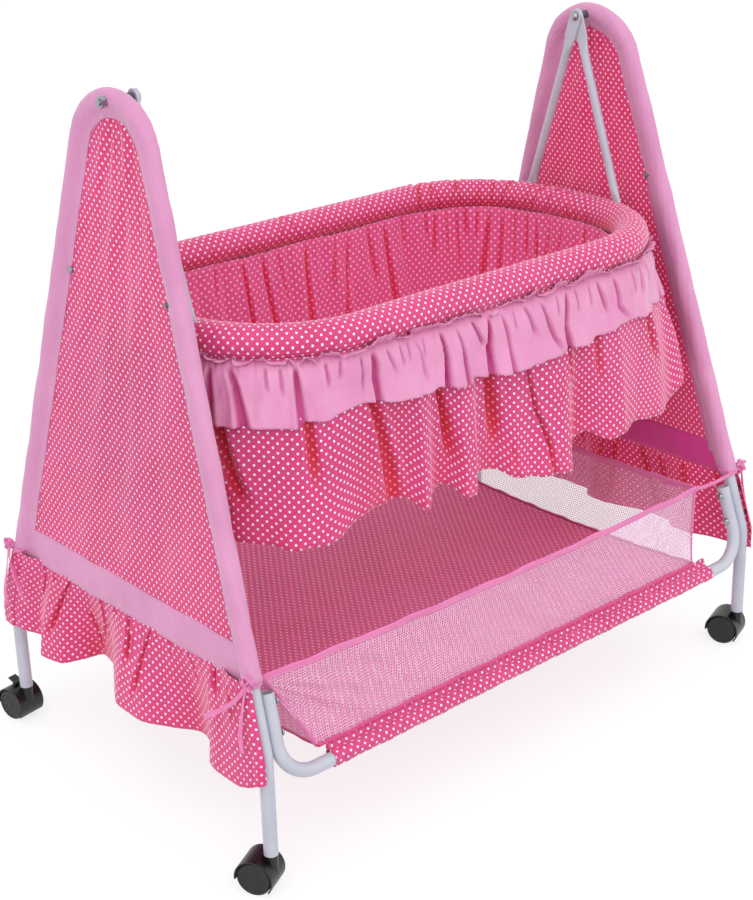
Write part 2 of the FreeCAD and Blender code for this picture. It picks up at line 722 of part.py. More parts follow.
def strip_edges(low, high, inset_out, inset_in=None):
    """A band across the frame, or with a second inset only a strip along the front leg."""
    corners = []
    for up in (low, high):
        outer = -inside_edge(up, inset_out)
        inner = -outer if inset_in is None else -inside_edge(up, inset_in)
        corners.append((outer, inner, up))
    (a, b, low_up), (c, d, high_up) = corners
    points = [V(a, low_up, 0), V(b, low_up, 0), V(d, high_up, 0), V(c, high_up, 0)]
    return [Part.LineSegment(points[i], points[(i + 1) % 4]) for i in range(4)]


def head_notches(side):
    """Room in the panel's edges for the heads of the joint bolts."""
    reach = size("cover_inward") + size("bolt_head_height") + 2 * GAP
    return [hole("head_notch", along_leg(side, end, JOINT_BOLT_HEIGHT), bolt_axis_joint(side, end),
                 "sizes.bolt_head", reach, 0) for end in ENDS.values()]


BAND_FOOT = up_frame(size("band_foot_height"))
BAND_TOP = up_frame(size("band_top_height"))
ZIP_TOP = up_frame(JOINT_HEIGHT)
zips = []
for side_name, side in SIDES.items():
    panel = flat_cloth("panel", None, side, panel_edges(), "sizes.cloth")
    keep(cut("notched_panel", panel, head_notches(side)), side_name + "_end_panel")
    flat_cloth("band", side_name + "_end_band", side, strip_edges(BAND_FOOT, BAND_TOP, INSET),
               "sizes.cloth")
    inward = (size("cloth") + size("zip_thickness")) / 2 + GAP
    zips.append(flat_cloth("zip", None, side,
                           strip_edges(BAND_TOP, ZIP_TOP, INSET, INSET + size("zip_width")),
                           "sizes.zip_thickness", inward))
    zips.append(flat_cloth("zip_pull", None, side,
                           strip_edges(BAND_TOP - size("pull_length"), BAND_TOP - GAP, INSET,
                                       INSET + size("pull_width")),
                           "sizes.zip_thickness", inward))
keep(group("zip_group", zips), "cover_zips")


# Gathered cloth. A fold line runs along a base curve as arcs that bulge out and in by
# turns; a loft from a shallow line to a deep one makes the hanging folds.


def fold_arcs(base, waves, depth, shift):
    """Arcs along base, a function of a share from 0 to 1 that gives a point and its outward way."""
    arcs = []
    steps = 2 * waves
    for i in range(steps):
        start, start_way = base(i / steps)
        middle, middle_way = base((i + 0.5) / steps)
        stop, stop_way = base((i + 1) / steps)
        bulge = depth if i % 2 == 0 else -depth
        arcs.append(Part.Arc(start + start_way * shift, middle + middle_way * (shift + bulge),
                             stop + stop_way * shift).toShape())
    return arcs


def folded_ring(top, foot, waves, top_depth, foot_depth):
    """A gathered skirt closed on itself, one cloth thick."""
    half_cloth = size("cloth") / 2
    shells = []
    for shift in (half_cloth, -half_cloth):
        wires = [Part.Wire(fold_arcs(base, waves, depth, shift))
                 for base, depth in ((foot, foot_depth), (top, top_depth))]
        shells.append(Part.makeLoft(wires, True, True))
    return shells[0].cut(shells[1])


def folded_strip(top, foot, waves, top_depth, foot_depth):
    """A gathered strip with two free ends."""
    half_cloth = size("cloth") / 2
    wires = []
    for base, depth in ((foot, foot_depth), (top, top_depth)):
        front = fold_arcs(base, waves, depth, half_cloth)
        back = fold_arcs(base, waves, depth, -half_cloth)
        close = [Part.LineSegment(front[0].Vertexes[0].Point, back[0].Vertexes[0].Point).toShape(),
                 Part.LineSegment(front[-1].Vertexes[-1].Point, back[-1].Vertexes[-1].Point).toShape()]
        wires.append(Part.Wire(Part.__sortEdges__(front + back + close)))
    return Part.makeLoft(wires, True, True)


def frill_line(side, height, half_width, out_middle, out_side):
    """The end frill's base line at a height: it swells outwards where it passes the legs."""
    def base(share):
        y = half_width * (2 * share - 1)
        swell = (2 * share - 1) ** 2
        x = frame_x(height) + out_middle + (out_side - out_middle) * swell
        return V(side * x, y, height), X * side
    return base


BAND_FACE = size("cloth") + GAP
for side_name, side in SIDES.items():
    top_height = size("band_foot_height")
    clear = TUBE_R + size("nut_height") + size("end_frill_depth") + size("end_frill_stand")
    top = frill_line(side, top_height, inside_edge(up_frame(top_height), -size("cover_outward")),
                     BAND_FACE + size("skirt_gather"), clear)
    foot = frill_line(side, size("end_frill_foot"), size("end_frill_half_width"),
                      size("end_frill_flare") + TUBE_R, clear + size("end_frill_stand"))
    shape = folded_strip(top, foot, int(size("end_frill_waves")), size("skirt_gather"),
                         size("end_frill_depth"))
    keep(solid_of("end_frill", shape), side_name + "_end_frill", at())


# Floor basket: a cloth floor sewn to a sleeve on each rail, net walls, and a tape round
# the top that is tied to the legs.

FLOOR_X = size("foot_half_length") - size("floor_end_gap")
MOUTH_X = size("foot_half_length") - size("mouth_end_gap")
SHIFT = size("basket_shift")
SEAM_Y = RAIL_Y - TUBE_R
SEAM_Z = size("floor_height")
SLEEVE_R = TUBE_R + size("cover_hug")
MOUTH_Y = leg_y(size("mouth_height"))


def floor_shape():
    cloth = size("cloth")
    middle = SEAM_Z - size("floor_sag")
    lower = Part.Arc(V(0, -SEAM_Y, SEAM_Z), V(0, 0, middle), V(0, SEAM_Y, SEAM_Z))
    upper = Part.Arc(V(0, -SEAM_Y, SEAM_Z + cloth), V(0, 0, middle + cloth), V(0, SEAM_Y, SEAM_Z + cloth))
    ends = [Part.LineSegment(V(0, y, SEAM_Z), V(0, y, SEAM_Z + cloth)) for y in (-SEAM_Y, SEAM_Y)]
    wire = Part.Wire(Part.__sortEdges__([edge.toShape() for edge in (lower, upper, *ends)]))
    sheet_shape = Part.Face(wire).extrude(X * 2 * FLOOR_X)
    sheet_shape.translate(X * (SHIFT - FLOOR_X))
    half = size("foot_half_length") - size("sleeve_end_gap")
    for end in ENDS.values():
        start = V(-half, end * RAIL_Y, size("rail_height"))
        outer = Part.makeCylinder(SLEEVE_R + cloth, 2 * half, start, X)
        riser = Part.makeBox(2 * half, cloth, SEAM_Z + cloth - size("rail_height"),
                             V(-half, end * SEAM_Y - cloth / 2, size("rail_height")))
        sheet_shape = sheet_shape.fuse([outer, riser])
    for end in ENDS.values():
        start = V(-half, end * RAIL_Y, size("rail_height"))
        sheet_shape = sheet_shape.cut(Part.makeCylinder(SLEEVE_R, 2 * half, start, X))
    return sheet_shape.removeSplitter()


keep(solid_of("floor_cloth", floor_shape()), "base_sheet", at())


def net_wall(corners, columns, rows, sag=0.0):
    """One net wall: a single holed face between four corners, as thick as its thread.

    Its foot follows the floor cloth where that sags."""
    low_a, low_b, high_b, high_a = corners

    def inside(u, w):
        return (low_a * (1 - u) + low_b * u) * (1 - w) + (high_a * (1 - u) + high_b * u) * w

    width, height = (low_b - low_a).Length, (high_a - low_a).Length
    margin, bar = size("net_margin"), size("net_bar")
    step_u, step_w = (1 - 2 * margin / width) / columns, (1 - 2 * margin / height) / rows
    wires = []
    for i in range(columns):
        for j in range(rows):
            u, w = margin / width + i * step_u, margin / height + j * step_w
            du, dw = bar / width / 2, bar / height / 2
            quad = [inside(u + du, w + dw), inside(u + step_u - du, w + dw),
                    inside(u + step_u - du, w + step_w - dw), inside(u + du, w + step_w - dw)]
            wires.append(Part.makePolygon(quad + quad[:1]))
    normal = (low_b - low_a).cross(high_a - low_a).normalize()
    down = ((low_a + low_b) - (high_a + high_b)).normalize()
    edges = [Part.LineSegment(a, b).toShape() for a, b in ((low_b, high_b), (high_b, high_a), (high_a, low_a))]
    foot = Part.Arc(low_a, (low_a + low_b) / 2 + down * sag, low_b) if sag else Part.LineSegment(low_a, low_b)
    outer = Part.Face(Part.Wire(Part.__sortEdges__(edges + [foot.toShape()])))
    face = outer.cut([Part.Face(wire) for wire in wires])
    wall = face.extrude(normal * size("net_thread"))
    wall.translate(normal * (-size("net_thread") / 2))
    return wall


def net_shape():
    foot = SEAM_Z + size("cloth") + GAP + size("net_thread") / 2
    top = size("mouth_height") - size("tape_height") / 2 - GAP
    low_y = SEAM_Y - size("cloth")
    low = [V(SHIFT + a * FLOOR_X, b * low_y, foot) for a, b in ((-1, -1), (1, -1), (1, 1), (-1, 1))]
    high = [V(SHIFT + a * MOUTH_X, b * MOUTH_Y, top) for a, b in ((-1, -1), (1, -1), (1, 1), (-1, 1))]
    rows = int(size("net_rows"))
    walls = []
    for i in range(4):
        j = (i + 1) % 4
        columns = int(size("net_columns") if i % 2 == 0 else size("net_end_columns"))
        along = (low[j] - low[i]).normalize() * (size("net_thread") + GAP)
        walls.append(net_wall((low[i] + along, low[j] - along, high[j] - along, high[i] + along),
                              columns, rows, size("floor_sag") if i % 2 else 0.0))
    return Part.makeCompound(walls)


keep(solid_of("net", net_shape()), "net_walls", at())


def binding_shape():
    tape, high = size("tape"), size("tape_height")
    length, width = MOUTH_X, MOUTH_Y
    base = size("mouth_height") - high / 2
    outer = Part.makeBox(2 * length + tape, 2 * width + tape, high, V(SHIFT - length - tape / 2,
                                                                     -width - tape / 2, base))
    inner = Part.makeBox(2 * length - tape, 2 * width - tape, high, V(SHIFT - length + tape / 2,
                                                                     -width + tape / 2, base))
    return outer.cut(inner)


keep(solid_of("binding", binding_shape()), "net_binding", at())


def tie_shape(side, end):
    """A strap from the basket's corner to a turn of tape round the leg, with its loose tail."""
    height, tape = size("mouth_height"), size("tape")
    leg = V(side * frame_x(height), end * MOUTH_Y, height)
    way = leg_axes(side, end)[1][2]
    start = leg - way * (size("tape_height") / 2)
    inner = TUBE_R + size("cover_hug")
    turn = Part.makeCylinder(inner + tape, size("tape_height"), start, way)
    corner = SHIFT + side * (MOUTH_X + tape / 2 + GAP)
    near, far = sorted((corner, leg.x))
    strap = Part.makeBox(far - near, tape, size("tape_height"),
                         V(near, leg.y - tape / 2, height - size("tape_height") / 2))
    tail_top = height - size("tape_height") / 2
    tail = Part.makeBox(size("tape_height"), tape, size("tie_length"),
                        V(leg.x - size("tape_height") / 2, leg.y + end * (inner + tape) - tape / 2,
                          tail_top - size("tie_length") + size("tape_height")))
    tail.rotate(leg, X, end * math.degrees(math.atan(SLOPE_Y)))
    whole = turn.fuse([strap, tail])
    return whole.cut(Part.makeCylinder(inner, size("tie_length") * 2, leg - way * size("tie_length"), way))


keep(solid_of("ties", Part.makeCompound([tie_shape(side, end) for end in ENDS.values()
                                         for side in SIDES.values()])), "corner_ties", at())


# The bed. A tube rim in two halves, four arms, and the padded cloth that hangs from them.


def rounded(half_x, half_y, corner, height):
    """A rounded rectangle as a function of a share of its length: a point and its outward way."""
    flat_x, flat_y = 2 * (half_x - corner), 2 * (half_y - corner)
    quarter = corner * math.pi / 2
    runs = [flat_y / 2, quarter, flat_x, quarter, flat_y, quarter, flat_x, quarter, flat_y / 2]
    total = sum(runs)

    def base(share):
        along = (share % 1.0) * total
        x_mid, y_mid = half_x - corner, half_y - corner
        for i, run in enumerate(runs):
            if along <= run or i == len(runs) - 1:
                break
            along -= run
        if i == 0:
            return V(half_x, along, height), X
        if i == 8:
            return V(half_x, -y_mid + along, height), X
        if i % 2:
            centre = {1: (x_mid, y_mid), 3: (-x_mid, y_mid), 5: (-x_mid, -y_mid), 7: (x_mid, -y_mid)}[i]
            angle = math.degrees(along / corner) + {1: 0, 3: 90, 5: 180, 7: 270}[i]
            way = V(cosd(angle), sind(angle), 0)
            return V(centre[0], centre[1], height) + way * corner, way
        if i == 2:
            return V(x_mid - along, half_y, height), Y
        if i == 4:
            return V(-half_x, y_mid - along, height), X * -1
        return V(-x_mid + along, -half_y, height), Y * -1

    return base


def rounded_wire(half_x, half_y, corner, height):
    """The same outline as one closed wire of lines and arcs."""
    x_mid, y_mid = half_x - corner, half_y - corner
    edges = []
    for i, (sx, sy) in enumerate(((1, 1), (-1, 1), (-1, -1), (1, -1))):
        centre = V(sx * x_mid, sy * y_mid, height)
        ways = [V(cosd(90 * i + a), sind(90 * i + a), 0) * corner for a in (0, 45, 90)]
        edges.append(Part.Arc(*(centre + way for way in ways)).toShape())
    count = len(edges)
    lines = [Part.LineSegment(edges[i].Vertexes[-1].Point, edges[(i + 1) % count].Vertexes[0].Point).toShape()
             for i in range(count)]
    return Part.Wire(Part.__sortEdges__(edges + lines))


def rim_wire(offset=0.0, height=RIM_Z):
    return rounded_wire(RIM_HALF_LENGTH + offset, size("rim_half_width") + offset,
                        size("rim_corner") + offset, height)


def rim_body():
    """Half the rim, drawn from the middle of its end and mirrored to a U."""
    body = new_body("rim_tube")
    section = new_sketch(body, "tube_section", "XZ_Plane")
    middle = V(RIM_HALF_LENGTH, 0, 0)
    for wall in (0, size("rim_wall")):
        section.addGeometry(Part.Circle(middle, Z, size("rim_tube") / 2 - wall))
    path = new_sketch(body, "centre_line", "XY_Plane")
    bend_in = V(RIM_HALF_LENGTH, CORNER_Y, 0)
    centre = V(CORNER_X, CORNER_Y, 0)
    corner_middle = centre + V(cosd(45), sind(45), 0) * size("rim_corner")
    bend_out = V(CORNER_X, size("rim_half_width"), 0)
    path.addGeometry(Part.LineSegment(middle, bend_in))
    path.addGeometry(Part.Arc(bend_in, corner_middle, bend_out))
    path.addGeometry(Part.LineSegment(bend_out, V(GAP / 2, size("rim_half_width"), 0)))
    half = pipe(body, "half_u", section, path)
    mirrored(body, [half], "XZ_Plane")
    return body


def hang_point(side, end):
    return V(side * HANG_X, end * HANG_Y + MIDDLE_Y, RIM_Z)


def arm_way(side, end):
    return V(0, -end * HANG_Y, size("apex_height") - RIM_Z).normalize()


def hang_axis(side, end):
    """The lower bolt's axis: outwards through the rim's corner, square to the arm."""
    angle = size("hanger_corner_angle")
    outwards = V(side * cosd(angle), end * sind(angle), 0)
    way = arm_way(side, end)
    return (outwards - way * outwards.dot(way)).normalize()


RIM_DRILL = size("rim_tube") + size("hanger_plate")
for side_name, side in SIDES.items():
    body = rim_body()
    turn = FreeCAD.Rotation(Z, 0 if side > 0 else 180)
    body.Placement = at(0, 0, RIM_Z, turn)
    holes = [hole("hanger_hole", hang_point(side, end), hang_axis(side, end), BOLT, RIM_DRILL)
             for end in ENDS.values()]
    keep(cut("rim", body, holes), side_name + "_rim_tube")

sleeves = []
for end in ENDS.values():
    start = V(-size("rim_spigot") / 2, end * size("rim_half_width") + MIDDLE_Y, RIM_Z)
    plug = "sizes.rim_tube / 2 - sizes.rim_wall - sizes.thread_clearance"
    wall = cylinder("joining_wall", plug, "sizes.rim_spigot", start, X)
    bore = cylinder("joining_bore", plug + " - sizes.rim_wall", "sizes.rim_spigot", start, X)
    sleeves.append(cut("joining_sleeve", wall, [bore]))
keep(group("sleeve_group", sleeves), "rim_joining_sleeves")


def arm_axes(side, end):
    """An arm's own axes: Z up the arm, X level and outwards."""
    way = arm_way(side, end)
    return (X * side, way.cross(X * side), way)


def flat_end(body, name, height, shift, turn):
    """The section where an arm is pressed flat, lifted to a height."""
    sketch = new_sketch(body, name, "XY_Plane")
    sketch.AttachmentOffset = FreeCAD.Placement(V(0, 0, height), FreeCAD.Rotation(Z, turn))
    wide = size("hanger_plate_width") / 2 - size("hole_clearance")
    thin = size("hanger_plate") / 2 - size("thread_clearance") * 2
    corner = V(thin * cosd(size("press_angle")), wide - thin, 0)
    return four_arcs(sketch, V(shift, 0, 0), corner, V(thin, wide, 0))


def round_end(body, name, height):
    """The arm's round section at a height, drawn in the same four arcs."""
    sketch = new_sketch(body, name, "XY_Plane")
    sketch.AttachmentOffset = FreeCAD.Placement(V(0, 0, height), FreeCAD.Rotation())
    radius = size("hanger_tube") / 2
    return four_arcs(sketch, V(), V(cosd(45), sind(45), 0) * radius, V(radius, radius, 0))


def plate(body, name, low, high, shift, turn, bore):
    """A flat end with a round tip and a bolt hole; high is the bolt's centre."""
    sketch = new_sketch(body, name + "_outline", "YZ_Plane")
    sketch.AttachmentOffset = FreeCAD.Placement(V(), FreeCAD.Rotation(Y, turn)).multiply(
        FreeCAD.Placement(V(0, 0, shift), FreeCAD.Rotation()))
    half = size("hanger_plate_width") / 2
    tip = math.copysign(half, high - low)
    sketch.addGeometry(Part.LineSegment(V(-half, high, 0), V(-half, low, 0)))
    sketch.addGeometry(Part.LineSegment(V(-half, low, 0), V(half, low, 0)))
    sketch.addGeometry(Part.LineSegment(V(half, low, 0), V(half, high, 0)))
    sketch.addGeometry(Part.Arc(V(half, high, 0), V(0, high + tip, 0), V(-half, high, 0)))
    sketch.addGeometry(Part.Circle(V(0, high, 0), Z, bore))
    return pad(body, name, sketch, "sizes.hanger_plate", both_ways=True)


def loft(body, name, first, second):
    feature = body.newObject("PartDesign::AdditiveLoft", name)
    feature.Profile = first
    feature.Sections = [second]
    feature.Ruled = True
    return feature


TINY = size("thread_clearance")


def arm_body(side, end):
    body = new_body("arm")
    neck = size("hanger_plate_length") + size("hanger_neck")
    section = new_sketch(body, "tube_section", "XY_Plane")
    section.AttachmentOffset = FreeCAD.Placement(V(0, 0, neck), FreeCAD.Rotation())
    circle(section, "sizes.hanger_tube", size("hanger_tube") / 2)
    circle(section, "sizes.hanger_tube - 2 * sizes.hanger_wall",
           size("hanger_tube") / 2 - size("hanger_wall"))
    pad(body, "arm_tube", section, str(ARM_LENGTH) + " - 2 * sizes.hanger_neck"
        " - sizes.hanger_plate_length - sizes.hanger_eye_length")
    stack = STACK if end < 0 else -STACK
    top = ARM_LENGTH - size("hanger_eye_length")
    loft(body, "top_neck", round_end(body, "top_round", top - size("hanger_neck")),
         flat_end(body, "top_flat", top, stack, 0))
    axes = arm_axes(side, end)
    axis = hang_axis(side, end)
    turn = math.degrees(math.atan2(axis.dot(axes[1]), axis.dot(axes[0])))
    low = size("hanger_plate_length")
    loft(body, "foot_neck", round_end(body, "foot_round", neck), flat_end(body, "foot_flat", low, 0, turn))
    plate(body, "top_plate", top - size("hanger_plate") / 2, ARM_LENGTH, stack, 0,
          size("pivot_shank") / 2 + size("pivot_running"))
    plate(body, "foot_plate", low + size("hanger_plate") / 2, 0, 0, turn,
          size("bolt_shank") / 2 + size("hole_clearance"))
    body.Placement = FreeCAD.Placement(hang_point(side, end), turned(axes))
    return body


for side_name, side in SIDES.items():
    for end_name, end in ENDS.items():
        keep(arm_body(side, end), "%s_%s_hanger" % (end_name, side_name))

HANG_BOLT_LENGTH = "sizes.hanger_plate + sizes.rim_tube + sizes.nut_height" + PLUS_GAP * 4
hanger_fasteners = []
for side in SIDES.values():
    for end in ENDS.values():
        axis = hang_axis(side, end)
        outer = hang_point(side, end) + axis * (size("hanger_plate") / 2 + GAP)
        hanger_fasteners.append(bolt("hanger_bolt", outer, axis * -1, HANG_BOLT_LENGTH, "bolt_shank",
                                     "bolt_head", "bolt_head_height"))
        inner = hang_point(side, end) - axis * (HANG_OUT + size("rim_tube") / 2 + GAP)
        hanger_fasteners.append(nut("hanger_nut", inner, axis * -1, "nut_flats", "nut_height",
                                    "bolt_shank"))
keep(group("hanger_fastener_group", hanger_fasteners), "hanger_bolts")


def swept_rim(radius):
    """A round bar along the whole rim."""
    wire = rim_wire()
    start = V(RIM_HALF_LENGTH, CORNER_Y, RIM_Z)
    profile = Part.Wire(Part.makeCircle(radius, start, Y))
    return wire.makePipeShell([profile], True, False)


def rim_cover_shape():
    """The foam tube round the rim, with room for the arms' flat ends and their bolts."""
    shape = swept_rim(size("rim_pad")).cut(swept_rim(size("rim_tube") / 2 + size("seam_gap")))
    pockets = []
    reach = size("hanger_plate_width") / 2 + size("hole_clearance") * 2
    for side in SIDES.values():
        for end in ENDS.values():
            point, axis = hang_point(side, end) - Y * MIDDLE_Y, hang_axis(side, end)
            back = HANG_OUT + size("rim_tube") / 2 + size("nut_height") + 4 * GAP
            ahead = size("hanger_plate") / 2 + size("bolt_head_height") + 2 * GAP
            pockets.append(Part.makeCylinder(reach, back + ahead, point - axis * back, axis))
            pockets.append(Part.makeCylinder(reach, size("rim_pad") * 2, point, arm_way(side, end)))
    return shape.cut(pockets)


keep(solid_of("rim_foam", rim_cover_shape()), "rim_cover", at())

BAG_TOP = RIM_Z - size("bag_drop")
BAG_OFFSET = -math.sqrt((size("rim_pad") + size("seam_gap")) ** 2 - size("bag_drop") ** 2)
BAG_FOOT = BAG_TOP - size("bag_depth")
TAPER = size("bag_taper")


def bag_wire(height, inset):
    share = (BAG_TOP - height) / size("bag_depth")
    return rim_wire(BAG_OFFSET - TAPER * share - inset, height)


def bag_shape():
    wall = size("bag_wall")
    outer = Part.makeLoft([bag_wire(BAG_FOOT, 0), bag_wire(BAG_TOP, 0)], True, True)
    inner = Part.makeLoft([bag_wire(BAG_FOOT + wall, wall), bag_wire(BAG_TOP, wall)], True, True)
    return outer.cut(inner)


keep(solid_of("bag", bag_shape()), "bed_bag", at())

BOARD_Z = BAG_FOOT + size("bag_wall") + GAP
BOARD_INSET = size("bag_wall") + size("board_gap")


def board_shape():
    face = Part.Face(bag_wire(BOARD_Z, BOARD_INSET))
    return face.extrude(Z * size("board"))


keep(solid_of("board", board_shape()), "bed_board", at())


# Each level of the mattress: its height, and how far it is drawn in, as shares of the thickness.
LEVEL_SHARES = [(0.0, 0.30), (0.2, 0.06), (0.45, 0.0), (0.75, 0.10), (0.95, 0.45), (1.0, 0.9)]
CROWN_SHARE = 4.0


def mattress_shape():
    """Drawn-in sides and a crowned top, as level sections from foot to crown."""
    base = BOARD_Z + size("board") + GAP
    thick, crown = size("mattress"), size("mattress_crown")
    wires = []
    for height_share, inset_share in LEVEL_SHARES:
        height = base + thick * height_share
        wires.append(bag_wire(height, BOARD_INSET + thick * inset_share))
    wires.append(bag_wire(base + thick + crown, BOARD_INSET + thick * CROWN_SHARE))
    return Part.makeLoft(wires, True, True)


keep(solid_of("mattress_pad", mattress_shape()), "mattress", at())


def skirt_line(offset, end_offset, height):
    return rounded(RIM_HALF_LENGTH + end_offset, size("rim_half_width") + offset,
                   size("rim_corner") + min(offset, end_offset), height)


HALF_CLOTH = size("cloth") / 2
SKIRT_TOP = RIM_Z - size("skirt_drop")
FRILL_TOP = RIM_Z - size("frill_drop")
SKIRT_SEAT = math.sqrt((size("rim_pad") + size("seam_gap")) ** 2 - size("skirt_drop") ** 2)
SKIRT_OUT = SKIRT_SEAT + size("skirt_gather") + HALF_CLOTH
FRILL_OUT = SKIRT_OUT + size("skirt_gather") + HALF_CLOTH * 2 + size("seam_gap") + size("frill_fold")

skirt = folded_ring(skirt_line(SKIRT_OUT, SKIRT_OUT, SKIRT_TOP),
                    skirt_line(SKIRT_OUT + size("skirt_flare"), SKIRT_OUT,
                               SKIRT_TOP - size("skirt_length")),
                    int(size("skirt_waves")), size("skirt_gather"), size("skirt_fold"))
keep(solid_of("skirt_cloth", skirt), "skirt", at())

frill = folded_ring(skirt_line(FRILL_OUT, FRILL_OUT, FRILL_TOP),
                    skirt_line(FRILL_OUT + size("frill_flare"), FRILL_OUT + size("frill_flare") / 2,
                               FRILL_TOP - size("frill_length")),
                    int(size("frill_waves")), size("frill_fold"), size("frill_fold"))
keep(solid_of("frill_cloth", frill), "rim_frill", at())


# Castors. Each is drawn about its axle: X along the axle, Y the way it trails, Z up.


def castor_placement(end_name, side_name):
    side, end = SIDES[side_name], ENDS[end_name]
    turn = FreeCAD.Rotation(Z, CASTOR_TURN["%s_%s" % (end_name, side_name)])
    swivel = at(side * size("foot_half_length"), end * size("foot_half_width"), 0, turn)
    return swivel.multiply(FreeCAD.Placement(V(0, size("trail"), size("wheel_radius")), FreeCAD.Rotation()))


HOOD_SPACE = size("wheel_radius") + size("hood_gap")
COLLAR_TOP = size("foot_height") - size("socket_flange") - GAP - size("wheel_radius")


def sector(body, name, inner, outer, half_width):
    """A ring sector over the wheels, from low at the swivel's side to the trailing side."""
    sketch = new_sketch(body, name + "_outline", "YZ_Plane")
    first, last = 180 + size("hood_front_drop"), -size("hood_rear_drop")
    middle = (first + last) / 2

    def point(radius, angle):
        return V(radius * cosd(angle), radius * sind(angle), 0)

    sketch.addGeometry(Part.Arc(point(outer, last), point(outer, middle), point(outer, first)))
    sketch.addGeometry(Part.LineSegment(point(outer, first), point(inner, first)))
    sketch.addGeometry(Part.Arc(point(inner, first), point(inner, middle), point(inner, last)))
    sketch.addGeometry(Part.LineSegment(point(inner, last), point(outer, last)))
    return pad(body, name, sketch, "2 * sizes." + half_width, both_ways=True)


def disc(body, name, role, centre, radius, length, midplane=True, lift=0.0, pocket=False):
    sketch = new_sketch(body, name + "_circle", role)
    if lift:
        sketch.AttachmentOffset = FreeCAD.Placement(V(0, 0, lift), FreeCAD.Rotation())
    sketch.addGeometry(Part.Circle(centre, Z, radius))
    feature = body.newObject("PartDesign::Pocket" if pocket else "PartDesign::Pad", name)
    feature.Profile = sketch
    feature.Length = length
    feature.Midplane = midplane
    return feature


LEVER_Z = HOOD_R + size("lever_boss") + GAP
EAR_R = size("lever_boss") + 2 * GAP
EAR_OUT = size("lever_half_width") + GAP + size("ear")


def block(body, name, half, low, high, length, pocket=False):
    """A rectangle across the trail, from low to high above the axle, as deep as it is long."""
    sketch = new_sketch(body, name + "_outline", "YZ_Plane")
    points = [V(-half, low, 0), V(half, low, 0), V(half, high, 0), V(-half, high, 0)]
    for i in range(4):
        sketch.addGeometry(Part.LineSegment(points[i], points[(i + 1) % 4]))
    feature = body.newObject("PartDesign::Pocket" if pocket else "PartDesign::Pad", name)
    feature.Profile = sketch
    feature.Length = length
    feature.Midplane = True
    return feature


def hood_body(braked):
    body = new_body("hood")
    swivel = V(0, -size("trail"), 0)
    disc(body, "collar", "XY_Plane", swivel, size("collar_radius"), COLLAR_TOP - size("collar_foot"),
         False, size("collar_foot"))
    disc(body, "wheel_space", "YZ_Plane", V(), HOOD_SPACE, 4 * size("hood_half_width"), pocket=True)
    sector(body, "fender", HOOD_SPACE, HOOD_R, "hood_half_width")
    sector(body, "web", size("core_radius") - size("hood_wall"), HOOD_R - size("hood_wall") / 2,
           "web_half_width")
    disc(body, "core", "YZ_Plane", V(), size("core_radius"), 2 * size("core_half_width"))
    disc(body, "boss", "XY_Plane", swivel, size("boss_radius"), COLLAR_TOP, False)
    if braked:
        disc(body, "ears", "YZ_Plane", V(0, LEVER_Z, 0), EAR_R, 2 * EAR_OUT)
        block(body, "ear_feet", EAR_R, HOOD_R - size("hood_wall") / 2, LEVER_Z, 2 * EAR_OUT)
        block(body, "ear_slot", EAR_R + GAP, HOOD_R + GAP / 2, LEVER_Z + EAR_R + GAP,
              2 * (size("lever_half_width") + GAP), pocket=True)
    stem_foot = size("stem_foot") - size("wheel_radius")
    stem_space = disc(body, "stem_space", "XY_Plane", swivel, size("stem_diameter") / 2 + TINY,
                      COLLAR_TOP * 2, False, stem_foot, pocket=True)
    stem_space.Reversed = True
    disc(body, "axle_space", "YZ_Plane", V(), size("axle_diameter") / 2 + TINY,
         4 * size("core_half_width"), pocket=True)
    if braked:
        disc(body, "lever_pin_space", "YZ_Plane", V(0, LEVER_Z, 0), size("lever_pin") / 2 + TINY,
             2 * EAR_OUT + size("cut_overrun"), pocket=True)
    return body


def pins(place, braked):
    """Stem and axle, and the brake lever's pin."""
    stem_foot = size("stem_foot") - size("wheel_radius")
    stem_top = size("foot_height") + size("stem_reach") - size("wheel_radius")
    pieces = [("stem", "sizes.stem_diameter / 2", stem_top - stem_foot, V(0, -size("trail"), stem_foot), Z),
              ("axle", "sizes.axle_diameter / 2", 2 * AXLE_REACH, V(-AXLE_REACH, 0, 0), X)]
    if braked:
        pieces.append(("lever_pin", "sizes.lever_pin / 2", 2 * EAR_OUT, V(-EAR_OUT, 0, LEVER_Z), X))
    made = []
    for name, radius, length, start, axis in pieces:
        way = place.Rotation.multVec(axis)
        made.append(cylinder(name, radius, str(length), place.multVec(start), way))
    return made


AXLE_REACH = size("wheel_outer_face") - size("wheel_disc") / 2


def wheel_body(name):
    """Half a twin wheel: a dished disc with its tread and hub, turned about the axle."""
    body = new_body(name)
    sketch = new_sketch(body, "half_section", "XY_Plane")
    face, start = "sizes.wheel_outer_face", "sizes.wheel_inner_face"
    disc_in = face + " - sizes.wheel_disc"
    tread = "sizes.wheel_radius"
    rim = tread + " - sizes.rim_band"
    bore = "sizes.axle_diameter / 2 + sizes.running_clearance"
    cap = face + " - sizes.hub_cap"
    dish = face + " - sizes.wheel_dish"
    points = [("sizes.hub_start", bore), ("sizes.hub_start", "sizes.hub_radius"),
              (disc_in, "sizes.hub_radius"), (disc_in, rim), (start, rim),
              (start, tread + " - sizes.wheel_round"), (start + " + sizes.wheel_round", tread),
              (face + " - sizes.wheel_round", tread), (face, tread + " - sizes.wheel_round"),
              (face, rim), (dish, rim + " - sizes.wheel_round"), (dish, "sizes.hub_radius"),
              (face, "sizes.hub_radius - sizes.wheel_round"), (face, "0"), (cap, "0"), (cap, bore)]
    outline(sketch, points)
    revolve(body, "turned_wheel", sketch, "H_Axis")
    return body


